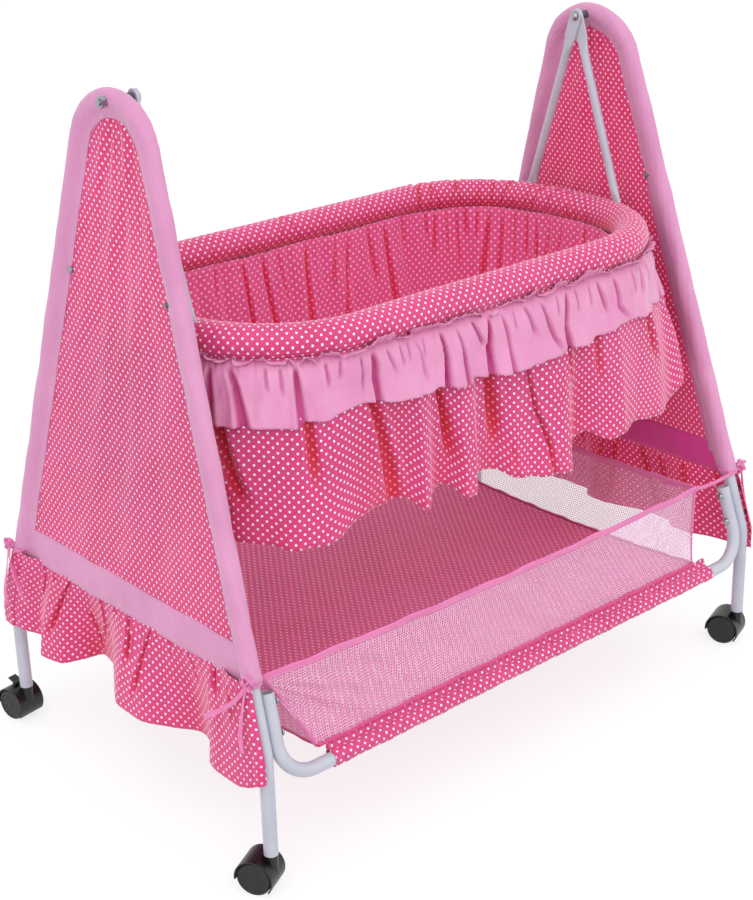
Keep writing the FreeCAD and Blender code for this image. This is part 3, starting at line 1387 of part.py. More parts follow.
def lever_body():
    """The brake pedal: a boss on its pin and a flat toe plate that rises to the back."""
    body = new_body("lever")
    width = 2 * size("lever_half_width")
    disc(body, "boss", "YZ_Plane", V(), size("lever_boss") - GAP / 2, width)
    sketch = new_sketch(body, "toe_outline", "YZ_Plane")
    along = V(cosd(size("lever_tilt")), sind(size("lever_tilt")), 0)
    across = V(-along.y, along.x, 0) * (size("lever_thickness") / 2)
    tip = along * size("lever_length")
    corners = [across * -1, tip - across, tip + along * size("lever_thickness") / 2, tip + across, across]
    for i in range(5):
        sketch.addGeometry(Part.LineSegment(corners[i], corners[(i + 1) % 5]))
    pad(body, "toe_plate", sketch, "2 * sizes.lever_half_width", both_ways=True)
    disc(body, "pin_space", "YZ_Plane", V(), size("lever_pin") / 2 + size("running_clearance"),
         width + size("cut_overrun"), pocket=True)
    return body


sockets = []
for end_name, end in ENDS.items():
    for side_name, side in SIDES.items():
        name = "%s_%s" % (end_name, side_name)
        place = castor_placement(end_name, side_name)
        braked = end > 0
        keep(hood_body(braked), name + "_castor_hood", place)
        keep(group("castor_pin_group", pins(place, braked)), name + "_castor_pins")
        half_turn = FreeCAD.Placement(V(), FreeCAD.Rotation(Z, 180))
        keep(wheel_body("wheel"), name + "_right_wheel", place)
        keep(wheel_body("wheel"), name + "_left_wheel", place.multiply(half_turn))
        if braked:
            lift = FreeCAD.Placement(V(0, 0, LEVER_Z), FreeCAD.Rotation())
            keep(lever_body(), name + "_brake_lever", place.multiply(lift))
        socket = new_body("socket")
        section = new_sketch(socket, "half_section", "XZ_Plane")
        bore = "sizes.stem_diameter / 2 + sizes.running_clearance"
        plug = "sizes.frame_tube / 2 - sizes.frame_wall - sizes.socket_wall_gap"
        outline(section, [(bore, "-sizes.socket_flange"), ("sizes.frame_tube / 2", "-sizes.socket_flange"),
                          ("sizes.frame_tube / 2", "-sizes.thread_clearance"),
                          (plug, "-sizes.thread_clearance"), (plug, "sizes.socket_length"),
                          (bore, "sizes.socket_length")])
        revolve(socket, "turned_socket", section)
        socket.Placement = at(side * size("foot_half_length"), end * size("foot_half_width"),
                              size("foot_height"))
        sockets.append(socket)
keep(group("socket_group", sockets), "castor_sockets")

# Check every object, then write one file for each piece.

doc.recompute()
failed = [thing.Name + ": " + thing.getStatusString() for thing in doc.Objects
          if {"Invalid", "Error"} & set(thing.State)]
if failed:
    raise RuntimeError("these objects failed: " + ", ".join(failed))
os.makedirs("parts", exist_ok=True)
for thing in OUTPUT:
    if thing.Shape.isNull() or not thing.Shape.isValid():
        raise RuntimeError("bad shape: " + thing.Label)
    thing.Shape.exportStep("parts/%s.step" % thing.Label)
print(len(OUTPUT), "pieces written; the middle of the frame is at Y", round(MIDDLE_Y, 3))
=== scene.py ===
import bisect
import math
import random

import bmesh
import bpy
from mathutils import Matrix, Vector


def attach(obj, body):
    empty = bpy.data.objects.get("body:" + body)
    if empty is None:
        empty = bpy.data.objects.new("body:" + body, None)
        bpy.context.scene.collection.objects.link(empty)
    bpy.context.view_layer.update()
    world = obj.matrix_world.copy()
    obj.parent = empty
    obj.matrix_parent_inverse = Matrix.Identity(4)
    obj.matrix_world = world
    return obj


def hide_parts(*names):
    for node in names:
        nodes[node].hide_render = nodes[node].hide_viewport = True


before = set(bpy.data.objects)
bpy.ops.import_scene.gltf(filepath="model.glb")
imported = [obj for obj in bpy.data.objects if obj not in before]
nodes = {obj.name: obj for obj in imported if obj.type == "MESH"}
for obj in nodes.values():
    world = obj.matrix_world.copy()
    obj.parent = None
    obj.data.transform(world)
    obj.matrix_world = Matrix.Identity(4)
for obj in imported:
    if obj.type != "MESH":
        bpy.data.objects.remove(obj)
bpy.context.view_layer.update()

# A swinging cradle on castors: two leaning tube end frames closed with dotted cloth, a
# padded bed hung between them from four arms, and a net basket between the legs.
#
# Places below are millimetres from the middle of the end frames, +X to the right-hand
# end, +Y to the back, +Z up. The model's own origin lies MIDDLE_Y off that middle.

MM = 0.001
MIDDLE_Y = -12.571
TURN = 2 * math.pi
SIDES = {"left": -1, "right": 1}
ENDS = {"front": -1, "rear": 1}


def place(x, y, z):
    """A point in the model's frame, in metres, from millimetres about the frame's middle."""
    return Vector((x * MM, (y + MIDDLE_Y) * MM, z * MM))


# The end frames' lines, in the sizes the tubes are bent to

FOOT_X, FOOT_Y, BEND_Z, APEX_Z = 471.0, 293.0, 195.5, 960.0
BOW_RADIUS = 78.0
LEAN = math.radians(3.42)
PLANE_APEX = (APEX_Z - BEND_Z) / math.cos(LEAN)
PLANE_CENTRE = PLANE_APEX - BOW_RADIUS
LEG_ANGLE = (math.atan2(FOOT_Y, PLANE_CENTRE)
             - math.asin(BOW_RADIUS / math.hypot(FOOT_Y, PLANE_CENTRE)))
SLOPE_X = math.tan(LEAN)
SLOPE_Y = math.tan(LEG_ANGLE) / math.cos(LEAN)
RAIL_Y, RAIL_Z = 304.85, 157.0


def frame_x(z):
    return FOOT_X - max(0.0, z - BEND_Z) * SLOPE_X


def leg_y(z):
    return FOOT_Y - max(0.0, z - BEND_Z) * SLOPE_Y


def up_frame(z):
    """How far up an end frame's leaning plane a height is."""
    return (z - BEND_Z) / math.cos(LEAN)


def on_frame(side, across, up, out=0.0):
    """A point on an end frame's plane: across it, up it, and out of it away from the bed."""
    x = FOOT_X - up * math.sin(LEAN) + out * math.cos(LEAN)
    z = BEND_Z + up * math.cos(LEAN) + out * math.sin(LEAN)
    return place(side * x, across, z)


# Finishes


def linear(code):
    """An sRGB hex colour as linear RGBA."""
    parts = [int(code[i:i + 2], 16) / 255 for i in (1, 3, 5)]
    return tuple(c / 12.92 if c <= 0.04045 else ((c + 0.055) / 1.055) ** 2.4 for c in parts) + (1.0,)


class Graph:
    """A tree of shader nodes, built up by calls that give back the new node's output."""

    def __init__(self, tree):
        self.tree = tree

    def feed(self, node, inputs):
        """Sets a node's inputs, each to a value, a hex colour or another node's output."""
        for name, value in inputs.items():
            if isinstance(value, bpy.types.NodeSocket):
                self.tree.links.new(value, node.inputs[name])
            else:
                node.inputs[name].default_value = linear(value) if isinstance(value, str) else value

    def add(self, kind, inputs=None, **settings):
        node = self.tree.nodes.new("ShaderNode" + kind)
        for name, value in settings.items():
            setattr(node, name, value)
        self.feed(node, inputs or {})
        return node.outputs

    def maths(self, operation, *values):
        return self.add("Math", dict(enumerate(values)), operation=operation)[0]

    def vectors(self, operation, *values):
        outputs = self.add("VectorMath", dict(enumerate(values)), operation=operation)
        return outputs["Value" if operation == "LENGTH" else "Vector"]

    def remap(self, value, low, high, to_low=0.0, to_high=1.0):
        return self.add("MapRange", {"Value": value, 1: low, 2: high, 3: to_low, 4: to_high})[0]

    def mix(self, share, first, second, **settings):
        """A colour a share of the way from the first to the second."""
        return self.add("Mix", {"Factor": share, 6: first, 7: second}, data_type="RGBA", **settings)[2]

    def noise(self, spot, scale, detail, roughness=0.5, distortion=0.0):
        return self.add("TexNoise", {"Vector": spot, "Scale": scale, "Detail": detail,
                                     "Roughness": roughness, "Distortion": distortion})[0]

    def bump(self, height, strength, depth, **under):
        return self.add("Bump", {"Height": height, "Strength": strength, "Distance": depth, **under})[0]

    def object_spot(self):
        return self.add("TexCoord")["Object"]

    def seen_rays(self):
        """1 where a ray shows a surface by itself: straight to the eye, mirrored or let through."""
        rays = self.add("LightPath")
        straight = self.maths("MAXIMUM", rays["Is Camera Ray"], rays["Is Glossy Ray"])
        return self.maths("MAXIMUM", straight, rays["Is Transmission Ray"])


class Finish(Graph):
    """A material with one shader, whose sockets are set by their names."""

    def __init__(self, name, **sockets):
        self.material = bpy.data.materials.new(name)
        self.material.use_nodes = True
        super().__init__(self.material.node_tree)
        self.shader = self.tree.nodes["Principled BSDF"]
        self.set(**sockets)

    def set(self, **sockets):
        self.feed(self.shader, {name.replace("_", " "): value for name, value in sockets.items()})
        return self.material


# How far the painted shade in folds takes a cloth's colour to its shade colour, and the soft edge of the
# printed ink in mm
SHADE_SHARE = 0.95
INK_EDGE = 0.22


def dotted(finish, cloth, colour, shade_share, dots):
    """Prints a colour with white dots in staggered rows; where painted shade in folds falls, the dots are
    painted pink.
    """
    along, down, across = dots
    nearest = None
    for offset in (0.0, 0.5):
        cell = finish.vectors("MULTIPLY_ADD", cloth, (1000 / along, 1000 / down, 0), (offset, offset, 0))
        middle = finish.vectors("MULTIPLY_ADD", finish.vectors("FRACTION", cell), (along, down, 0),
                                (-along / 2, -down / 2, 0))
        away = finish.vectors("LENGTH", middle)
        nearest = away if nearest is None else finish.maths("MINIMUM", nearest, away)
    # The ink's edge is soft by a thread or two, and the print is a little uneven.
    rough = finish.maths("MULTIPLY_ADD", finish.noise(cloth, 700.0, 2.0, 0.6), 0.5, across / 2 - 0.25)
    ink = finish.remap(finish.maths("SUBTRACT", nearest, rough), -INK_EDGE, INK_EDGE, 1.0, 0.0)
    # Painted shade: in folds the white dots are painted pink.
    return finish.mix(ink, colour, finish.mix(shade_share, "#fbeef3", "#ec7ba0"))


def weave_height(finish, cloth, threads_mm):
    """Plain weave: two crossed sets of threads, over and under by turns."""
    scaled = finish.vectors("MULTIPLY", cloth, (500 / threads_mm,) * 3)
    axes = finish.add("SeparateXYZ", {0: scaled})
    waves = [finish.maths("SINE", finish.maths("MULTIPLY", axes[i], TURN)) for i in (0, 1)]
    return finish.maths("MULTIPLY_ADD", finish.maths("MULTIPLY", *waves), 0.5, 0.5)


def cloth_finish(name, ground, deep, shade_colour, threads_mm, dots=None, crinkle=0.4, **sockets):
    """Woven cloth, plain or printed with white dots in staggered rows.

    The colour is painted darker and redder towards its shade colour, as painted shade in folds.
    dots is the print's repeat along and down the cloth and the dots' diameter, in mm."""
    finish = Finish(name, **sockets)
    cloth = finish.add("UVMap", uv_map="cloth")[0]
    tone = finish.remap(finish.noise(cloth, 9.0, 3.0, 0.6), 0.35, 0.68)
    # Painted shade: each point's shade in folds, kept on the mesh, darkens and reddens the colour.
    shade_mask = finish.add("Attribute", attribute_name="painted_shade_in_folds", attribute_type="GEOMETRY")["Fac"]
    shade_share = finish.maths("MULTIPLY", shade_mask, SHADE_SHARE)
    colour = finish.mix(shade_share, finish.mix(tone, deep, ground), shade_colour)
    if dots:
        colour = dotted(finish, cloth, colour, shade_share, dots)
    weave = weave_height(finish, cloth, threads_mm)
    shade = finish.remap(weave, 0.0, 1.0, 0.94, 1.0)
    creases = finish.bump(finish.noise(cloth, 55.0, 4.0, 0.55, 0.6), crinkle, 0.002)
    return finish.set(Base_Color=finish.mix(1.0, colour, shade, blend_type="MULTIPLY"),
                      Normal=finish.bump(weave, 0.35, 0.0002, Normal=creases))


# The print's repeat is 12.3 mm with 3.2 mm dots, woven at about 0.5 mm a thread; the
# threads are drawn at 1.1 mm, and finer cloth's at 0.9 mm, since real ones don't show.
DOT_PRINT = (12.3, 12.3, 3.2)
COARSE, FINE = 1.1, 0.9

# Thin dyed cloth lets light through, the red furthest, so a side in shade glows deeper.
SEEN_THROUGH = {"Subsurface_Weight": 0.8, "Subsurface_Radius": (1.0, 0.35, 0.55),
                "Subsurface_Scale": 0.0025}
# Cotton has a faint bloom along its folds.
BLOOM = {"Sheen_Weight": 0.3, "Sheen_Roughness": 0.45}

# Each cloth below is given its ground, its random darker tone, and its painted shade colour for folds.
# Printed cotton-polyester poplin: matt. A copy painted paler, as painted light, for the lining and the
# bed's and basket's floors, which lie in shade.
dotted_poplin = cloth_finish("dotted_cotton_poplin", "#d84184", "#d13678", "#c40a34", COARSE,
                             DOT_PRINT, 0.35, Roughness=0.62, **BLOOM, **SEEN_THROUGH)
dotted_poplin_painted_lighter = cloth_finish("dotted_cotton_poplin_painted_lighter", "#f065a8", "#ea5b9e", "#d8164c", COARSE,
                                  DOT_PRINT, 0.35, Roughness=0.62, **BLOOM, **SEEN_THROUGH)
# Plain dyed poplin for the covers and the bands: the same cloth in a paler pink.
plain_poplin = cloth_finish("plain_dyed_poplin", "#d592ba", "#cd88b2", "#d62a8c", COARSE, crinkle=0.7,
                            Roughness=0.6, **BLOOM)
# Polyester satin for the short frill: smooth floats that catch the light along folds.
pink_satin = cloth_finish("polyester_satin", "#e096be", "#d988b4", "#b92e79", FINE, crinkle=0.75,
                          Roughness=0.38, Sheen_Weight=0.4, Sheen_Roughness=0.35)
# Woven cotton tape binds the basket; the piping at its foot is a fuller pink.
woven_tape = cloth_finish("woven_cotton_tape", "#e284b8", "#da78ad", "#bb3f86", FINE,
                          Roughness=0.6, **BLOOM, **SEEN_THROUGH)
deep_binding = cloth_finish("deep_pink_piping", "#d8478c", "#cf3a7f", "#b01c55", FINE,
                            Roughness=0.6, **BLOOM, **SEEN_THROUGH)


def white_coat():
    """Powder-coated steel: satin, with the faint orange peel of a baked coat."""
    finish = Finish("powder_coated_steel_tube", Roughness=0.32, Coat_Weight=0.25, Coat_Roughness=0.15)
    spot = finish.object_spot()
    tone = finish.remap(finish.noise(spot, 14.0, 3.0), 0.3, 0.7)
    return finish.set(Base_Color=finish.mix(tone, "#acaebc", "#bcbdc9"),
                      Normal=finish.bump(finish.noise(spot, 900.0, 2.0), 0.12, 0.0004))


def zinc_coat():
    """Bright zinc plate over steel, with the slight unevenness of barrel plating."""
    finish = Finish("bright_zinc_plated_steel", Metallic=1.0)
    cloud = finish.noise(finish.object_spot(), 400.0, 3.0)
    return finish.set(Roughness=finish.remap(cloud, 0.3, 0.7, 0.26 * 0.7, 0.26 * 1.4),
                      Base_Color=finish.mix(cloud, "#8d9096", "#b3b5ba"),
                      Normal=finish.bump(cloud, 0.08, 0.0003))


def moulded(name, colour, scuffed, roughness, grain, strength):
    """Moulded or pressed stuff: a fine grain, and a few rougher scuffs of another tone."""
    finish = Finish(name)
    spot = finish.object_spot()
    scuff = finish.remap(finish.noise(spot, 60.0, 5.0, 0.7), 0.55, 0.75)
    return finish.set(Base_Color=finish.mix(scuff, colour, scuffed),
                      Roughness=finish.remap(scuff, 0.0, 1.0, roughness, roughness + 0.18),
                      Normal=finish.bump(finish.noise(spot, grain, 3.0), strength, 0.0003))


# Below PULL_TOP, in metres, hang each zip's slider and pull; its coil's turns are COIL_TURN apart.
PULL_TOP, COIL_TURN = 0.337, 0.0016


def zip_coil():
    """A zip of pink nylon coil, with a nickel-plated slider and pull at its foot."""
    finish = Finish("nylon_coil_zip_with_nickel_pull", Roughness=0.38)
    height = finish.add("SeparateXYZ", {"Vector": finish.object_spot()})["Z"]
    pull = finish.maths("LESS_THAN", height, PULL_TOP)
    coil = finish.maths("SINE", finish.maths("MULTIPLY", height, TURN / COIL_TURN))
    thread = finish.mix(finish.remap(coil, -1.0, 1.0), "#b9578c", "#d884b2")
    return finish.set(Base_Color=finish.mix(pull, thread, "#d9dade"), Metallic=pull)


def net_finish():
    """Warp-knitted polyester net, so fine that it reads as a pale veil."""
    finish = Finish("knitted_polyester_net", Roughness=0.55, Sheen_Weight=0.3)
    cloud = finish.noise(finish.object_spot(), 60.0, 2.0)
    return finish.set(Base_Color=finish.mix(cloud, "#deabd0", "#ecc8e2"))


white_steel = white_coat()
zinc_plate = zinc_coat()
nylon_zip = zip_coil()
black_nylon = moulded("black_moulded_nylon", "#060607", "#0e0e10", 0.34, 1500.0, 0.25)
black_tread = moulded("black_polypropylene_wheel", "#070708", "#121214", 0.45, 900.0, 0.2)
grey_nylon = moulded("grey_moulded_nylon", "#4a4850", "#57555d", 0.45, 1500.0, 0.2)
pressed_board = moulded("grey_pressed_board", "#a79f93", "#968d80", 0.8, 300.0, 0.4)
knitted_net = net_finish()

# Carried-over CAD nodes get their finishes by what they are made of.

CORNERS = [end + "_" + side for side in SIDES for end in ENDS]
NODE_FINISHES = [
    (white_steel, ["front_rail", "rear_rail"] + [c + part for c in CORNERS for part in ("_leg", "_hanger")]
     + [side + part for side in SIDES for part in ("_bow", "_rim_tube")]),
    (zinc_plate, ["rail_bolts", "bow_bolts", "frame_nuts", "pivot_bolts", "pivot_nuts", "hanger_bolts",
                  "rim_joining_sleeves"] + [c + "_castor_pins" for c in CORNERS]),
    (black_nylon, ["castor_sockets"] + [c + "_castor_hood" for c in CORNERS]
     + ["rear_%s_brake_lever" % side for side in SIDES]),
    (black_tread, ["%s_%s_wheel" % (c, wheel) for c in CORNERS for wheel in SIDES]),
    (grey_nylon, ["pivot_bushes"]), (nylon_zip, ["cover_zips"]), (pressed_board, ["bed_board"])]
for material, names in NODE_FINISHES:
    for name in names:
        nodes[name].data.materials.clear()
        nodes[name].data.materials.append(material)


# Cloth is made in mesh code: rows of points, with each point's place on the flat cloth.


def wave(t, parts):
    """A sum of sines: how many turns, how high, and where in its turn each starts."""
    return sum(height * math.sin(TURN * (turns * t + start)) for turns, height, start in parts)


def eased(t):
    t = min(1.0, max(0.0, t))
    return t * t * (3 - 2 * t)


def bell(away, width):
    """1 in the middle, dying out on both sides."""
    return math.exp(-(away / width) ** 2)


def between(low, high, share):
    return low + (high - low) * share


def shares(steps):
    """From 0 to 1 in even steps."""
    return [i / steps for i in range(steps + 1)]


def spans(steps):
    """From -1 to 1 in even steps."""
    return [share * 2 - 1 for share in shares(steps)]


def row_lengths(row, closed):
    """How far along a row of points each one is, in metres."""
    ends = row + row[:1] if closed else row
    total = [0.0]
    for a, b in zip(ends, ends[1:]):
        total.append(total[-1] + (b - a).length)
    return total


def cloth_lengths(rows, closed):
    """How far along and down the cloth each point is, in metres.

    Along is taken on the longest row, since a frill's cloth is as wide as its hem."""
    along = max((row_lengths(row, closed) for row in rows), key=lambda lengths: lengths[-1])
    down = [0.0]
    for upper, lower in zip(rows, rows[1:]):
        down.append(down[-1] + sum((b - a).length for a, b in zip(upper, lower)) / len(upper))
    return along, down


# The stretch of cloth, in metres, over which a row's places keep in step with the longest row
IN_STEP = 0.045


def row_places(row, closed, along):
    """Along the cloth for one row: its own lengths near by, in step with the longest row."""
    gaps = [own - longest for own, longest in zip(row_lengths(row, closed), along)]
    sums = [0.0]
    for gap in gaps:
        sums.append(sums[-1] + gap)
    reach = max(2, int(IN_STEP * len(gaps) / max(along[-1], 0.01)))
    places = []
    for j, gap in enumerate(gaps):
        first, last = max(0, j - reach), min(len(gaps), j + reach + 1)
        places.append(along[j] + gap - (sums[last] - sums[first]) / (last - first))
    return places


def cloth_size(rows, closed=False):
    """The cloth's mean width along its rows and its length down them, in metres."""
    wide = sum(row_lengths(row, closed)[-1] for row in rows) / len(rows)
    return wide, cloth_lengths(rows, closed)[1][-1]


def mesh_piece(name, points, faces, material):
    mesh = bpy.data.meshes.new(name)
    mesh.from_pydata(points, [], faces)
    mesh.shade_smooth()
    mesh.materials.append(material)
    piece = bpy.data.objects.new(name, mesh)
    bpy.context.scene.collection.objects.link(piece)
    return piece


def cloth_piece(name, rows, material, closed=False, loop_down=False, stretch=(1.0, 1.0), thickness=0.0,
                flip=False, offset=0.0, point_shades=None):
    """A sheet through rows of points, with its weave's own places as a UV map in metres.

    The last argument gives each point's painted shade in folds, from 0 to 1, which the cloth's finish
    paints."""
    count, deep = len(rows[0]), len(rows)
    along, down = cloth_lengths(rows, closed)
    if loop_down:
        down.append(down[-1] + sum((b - a).length for a, b in zip(rows[-1], rows[0])) / count)
    across = [row_places(row, closed, along) for row in rows]
    faces, places = [], []
    for i in range(deep if loop_down else deep - 1):
        for j in range(count if closed else count - 1):
            low, right = (i + 1) % deep, (j + 1) % count
            face = [i * count + j, i * count + right, low * count + right, low * count + j]
            face_places = [(across[i][j], down[i]), (across[i][j + 1], down[i]),
                           (across[low][j + 1], down[i + 1]), (across[low][j], down[i + 1])]
            if flip:
                face.reverse()
                face_places.reverse()
            faces.append(face)
            places.extend(face_places)
    piece = mesh_piece(name, [p for row in rows for p in row], faces, material)
    layer = piece.data.uv_layers.new(name="cloth")
    layer.data.foreach_set("uv", [c for u, v in places for c in (u * stretch[0], -v * stretch[1])])
    # Painted shade in folds, one value for each point.
    depth = piece.data.attributes.new(name="painted_shade_in_folds", type="FLOAT", domain="POINT")
    if point_shades:
        depth.data.foreach_set("value", [min(max(value, 0.0), 1.0) for row in point_shades for value in row])
    if thickness:
        wall = piece.modifiers.new("cloth_thickness", "SOLIDIFY")
        wall.thickness = thickness * MM
        wall.offset = offset
    return piece


def lay_print(piece, spot):
    """Lays the weave and print by each point's own place, where the cloth is cut flat."""
    mesh = piece.data
    layer = mesh.uv_layers.get("cloth") or mesh.uv_layers.new(name="cloth")
    for loop in mesh.loops:
        layer.data[loop.index].uv = spot(mesh.vertices[loop.vertex_index].co)


def close_ends(piece):
    """Fills a piece's open ends and turns its faces outwards."""
    mesh = bmesh.new()
    mesh.from_mesh(piece.data)
    rims = [e for e in mesh.edges if e.is_boundary]
    if rims:
        bmesh.ops.holes_fill(mesh, edges=rims, sides=0)
    bmesh.ops.recalc_face_normals(mesh, faces=mesh.faces)
    mesh.to_mesh(piece.data)
    mesh.free()
    piece.data.shade_smooth()
    return piece


def settle(piece, body, replaced=()):
    """Rides a finished piece on its body, and hides the parts that it stands for."""
    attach(piece, body)
    if replaced:
        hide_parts(*replaced)


def each(ways, make):
    """Makes a piece for each of the sides or ends, given its name and which way it lies."""
    for name, way in ways.items():
        make(name, way)


# Tube covers. Each is one long cloth tube over the bow, sewn flat along its inner edge.

COVER_FOOT = up_frame(285.0)
# Half its section: places out from the tube's middle and off the frame's plane
COVER_SECTION = [(-20.0, 0.0), (-20.2, 1.2), (-15.5, 2.0), (-11.0, 4.6), (-6.0, 8.4), (-1.0, 10.7),
                 (4.0, 10.9), (9.0, 9.2), (12.8, 5.4), (14.2, 0.0)]
COVER_STATIONS, SECTION_STEPS = 420, 3
BOW_TURN = PLANE_CENTRE + BOW_RADIUS * math.sin(LEG_ANGLE)
BOW_STRAIGHT = (BOW_TURN - COVER_FOOT) / math.cos(LEG_ANGLE)
BOW_ARC = BOW_RADIUS * (math.pi - 2 * LEG_ANGLE)
BOW_LENGTH = 2 * BOW_STRAIGHT + BOW_ARC


def bow_line(run):
    """The bow's centre line by its length from the front foot: place and outward way."""
    if BOW_STRAIGHT < run < BOW_STRAIGHT + BOW_ARC:
        angle = math.pi - LEG_ANGLE - (run - BOW_STRAIGHT) / BOW_RADIUS
        out = (math.cos(angle), math.sin(angle))
        return (out[0] * BOW_RADIUS, PLANE_CENTRE + out[1] * BOW_RADIUS), out
    end = -1
    if run >= BOW_STRAIGHT + BOW_ARC:
        run, end = BOW_LENGTH - run, 1
    across = -BOW_RADIUS * math.cos(LEG_ANGLE) - (BOW_STRAIGHT - run) * math.sin(LEG_ANGLE)
    up = BOW_TURN - (BOW_STRAIGHT - run) * math.cos(LEG_ANGLE)
    return (-end * across, up), (end * math.cos(LEG_ANGLE), math.sin(LEG_ANGLE))


def smooth_step(a, b, c, d, t):
    """A share t of the way from b to c, on a smooth line through all four."""
    return 0.5 * (2 * b + (c - a) * t + (2 * a - 5 * b + 4 * c - d) * t * t
                  + (3 * b - a - 3 * c + d) * t ** 3)


def section_points():
    """The cover's closed section, smoothed through its drawn points."""
    full = COVER_SECTION + [(a, -b) for a, b in reversed(COVER_SECTION[1:-1])]
    near = [[full[(i + k) % len(full)] for k in (-1, 0, 1, 2)] for i in range(len(full))]
    return [tuple(smooth_step(*(p[c] for p in four), step / SECTION_STEPS) for c in (0, 1))
            for four in near for step in range(SECTION_STEPS)]


def cover_cloth(side_name, side):
    section = section_points()
    rows = []
    for share in shares(COVER_STATIONS):
        run = share * BOW_LENGTH
        (across, up), out = bow_line(run)
        gather = eased((1 - abs(share - 0.5) / (BOW_ARC / BOW_LENGTH / 2 + 0.02)) * 2.5)
        row = []
        for k, (away, thick) in enumerate(section):
            face = 1 if thick >= 0 else -1
            by_seam = 0.35 + 0.65 * bell(away + 20, 9)
            puckers = gather * (0.9 * math.sin(run / 2.9 + 1.3 * math.sin(run / 9.7)) * by_seam)
            drape = wave(run / 1000, [(7.3, 0.5, 0.2), (17.0, 0.28, 0.6 + side * 0.1)]) * face
            slack = wave(run / 1000, [(5.1, 0.55, 0.1 + side * 0.2), (11.3, 0.35, 0.4)])
            swell = 1 + 0.05 * wave(run / 1000 + k * 0.01, [(9.0, 0.5, 0.15), (23.0, 0.3, 0.7)])
            reach = away * swell + slack * (0.35 if away > 0 else -0.25)
            lift = thick * swell + (puckers + drape) * (1 - 0.5 * abs(away - 3) / 20)
            # A tape draws each end in round the leg.
            tied = bell(min(run, BOW_LENGTH - run), 11)
            crush = 0.9 * math.sin(k * 2.4 + 0.8) * tied
            reach += tied * (0.42 * max(0.0, -away - 8) - 0.16 * max(0.0, away)) + crush * 0.5
            row.append(on_frame(side, across + out[0] * reach, up + out[1] * reach, lift + crush * face))
        rows.append(row)
    columns = [list(column) for column in zip(*rows)]
    piece = cloth_piece(side_name + "_bow_cover_cloth", columns, plain_poplin, loop_down=True,
                        thickness=0.9, offset=-1.0, flip=side > 0)
    settle(piece, "frame", [side_name + "_bow_cover"])
    girth = sum(math.dist(a, b) for a, b in zip(section, section[1:] + section[:1]))


each(SIDES, cover_cloth)


# End panels: one sheet of dotted cloth in each frame, sewn into the cover's inner edge.

PANEL_INSET, PANEL_STEPS, PANEL_COLUMNS = 17.5, 110, 60
BAND_TOP, BAND_FOOT = up_frame(329.0), up_frame(281.0)
# The panel's print stands closer across than up; its area is summed in slices.
PANEL_CROSS, PANEL_SLICES = 1.19, 50


def half_across(up, inset):
    """Half the width between the bow's sides at a height up the plane, less an inset."""
    radius = BOW_RADIUS - inset
    turn_up = PLANE_CENTRE + radius * math.sin(LEG_ANGLE)
    if up > turn_up:
        return math.sqrt(max(0.0, radius ** 2 - (up - PLANE_CENTRE) ** 2))
    return radius * math.cos(LEG_ANGLE) + (turn_up - up) * math.tan(LEG_ANGLE)


def panel_cloth(side_name, side):
    top = PLANE_CENTRE + BOW_RADIUS - PANEL_INSET - 0.01
    rows = []
    for share in reversed(shares(PANEL_STEPS)):
        up = BAND_FOOT + 8 + (top - BAND_FOOT - 8) * (1 - (1 - share) ** 1.35)
        half = max(half_across(up, PANEL_INSET), 0.3)
        free = eased((up - BAND_TOP - 1) / 30)
        row = []
        for t in spans(PANEL_COLUMNS):
            pull = (1 - t * t)
            ripple = wave(up / 1000 + t * 0.22, [(5.0, 1.1, 0.1), (11.0, 0.5, 0.45)]) * pull ** 0.5
            ripple += wave(t * 0.5 + up / 3000, [(4.0, 0.8, 0.3 + side * 0.1), (9.0, 0.35, 0.8)]) * pull
            row.append(on_frame(side, half * t, up, (ripple - 1.6 * pull) * free))
        rows.append(row)
    piece = cloth_piece(side_name + "_end_panel_cloth", rows, dotted_poplin, thickness=0.8, flip=side < 0)
    # Threads run straight across and up the panel, not along its slanting edges.
    lay_print(piece, lambda p: (p.y * PANEL_CROSS, p.z))
    settle(piece, "frame", [side_name + "_end_panel"])
    tall = top - BAND_FOOT
    middles = [BAND_FOOT + tall * (k + 0.5) / PANEL_SLICES for k in range(PANEL_SLICES)]
    area = sum(half_across(up, PANEL_INSET) * 2 * tall / PANEL_SLICES for up in middles)


each(SIDES, panel_cloth)


# End bands: a folded strip across each panel's foot, with the frill sewn in under it.

BAND_INSET, BAND_COLUMNS = 14.0, 140
# The band's section, outside and then inside: places up from its foot or its top, and out
BAND_SECTION = (
    [(BAND_FOOT + up, out) for up, out in ((0, 0.4), (0.3, 1.9), (6, 2.6), (24, 2.5))]
    + [(BAND_TOP - down, out) for down, out in ((6, 2.6), (0.4, 1.8), (0, 0.6), (0.4, -0.8), (6, -1.8))]
    + [(BAND_FOOT + up, out) for up, out in ((24, -2.0), (6, -1.9), (0.3, -1.0))])


def band_cloth(side_name, side):
    rows = []
    for up, out in BAND_SECTION:
        row = []
        for t in spans(BAND_COLUMNS):
            pucker = wave(t, [(31.0, 0.30, 0.0), (47.0, 0.2, 0.3)]) * bell(up - BAND_FOOT, 12)
            lift = wave(t, [(1.5, 1.2, 0.2), (3.5, 0.6, 0.5)])
            row.append(on_frame(side, half_across(up, BAND_INSET) * t, up + pucker + lift * 0.5,
                                out + 0.8 * wave(t, [(2.5, 0.7, 0.4), (6.0, 0.4, 0.1)]) + pucker * 0.6))
        rows.append(row)
    # The band's inner face is out of the light: painted shade darkens and deepens its colour there.
    point_shades = [[0.0 if out > -0.5 else 1.0] * (BAND_COLUMNS + 1) for up, out in BAND_SECTION]
    piece = cloth_piece(side_name + "_end_band_cloth", rows, plain_poplin, loop_down=True, thickness=0.6,
                        offset=-1.0, flip=side > 0, point_shades=point_shades)
    settle(piece, "frame", [side_name + "_end_band"])


each(SIDES, band_cloth)


# Folds. Gathered cloth hangs between two lines: the seam, where it is straight, and the
# hem, which swings in and out in a few broad folds. Grooves run down between them.


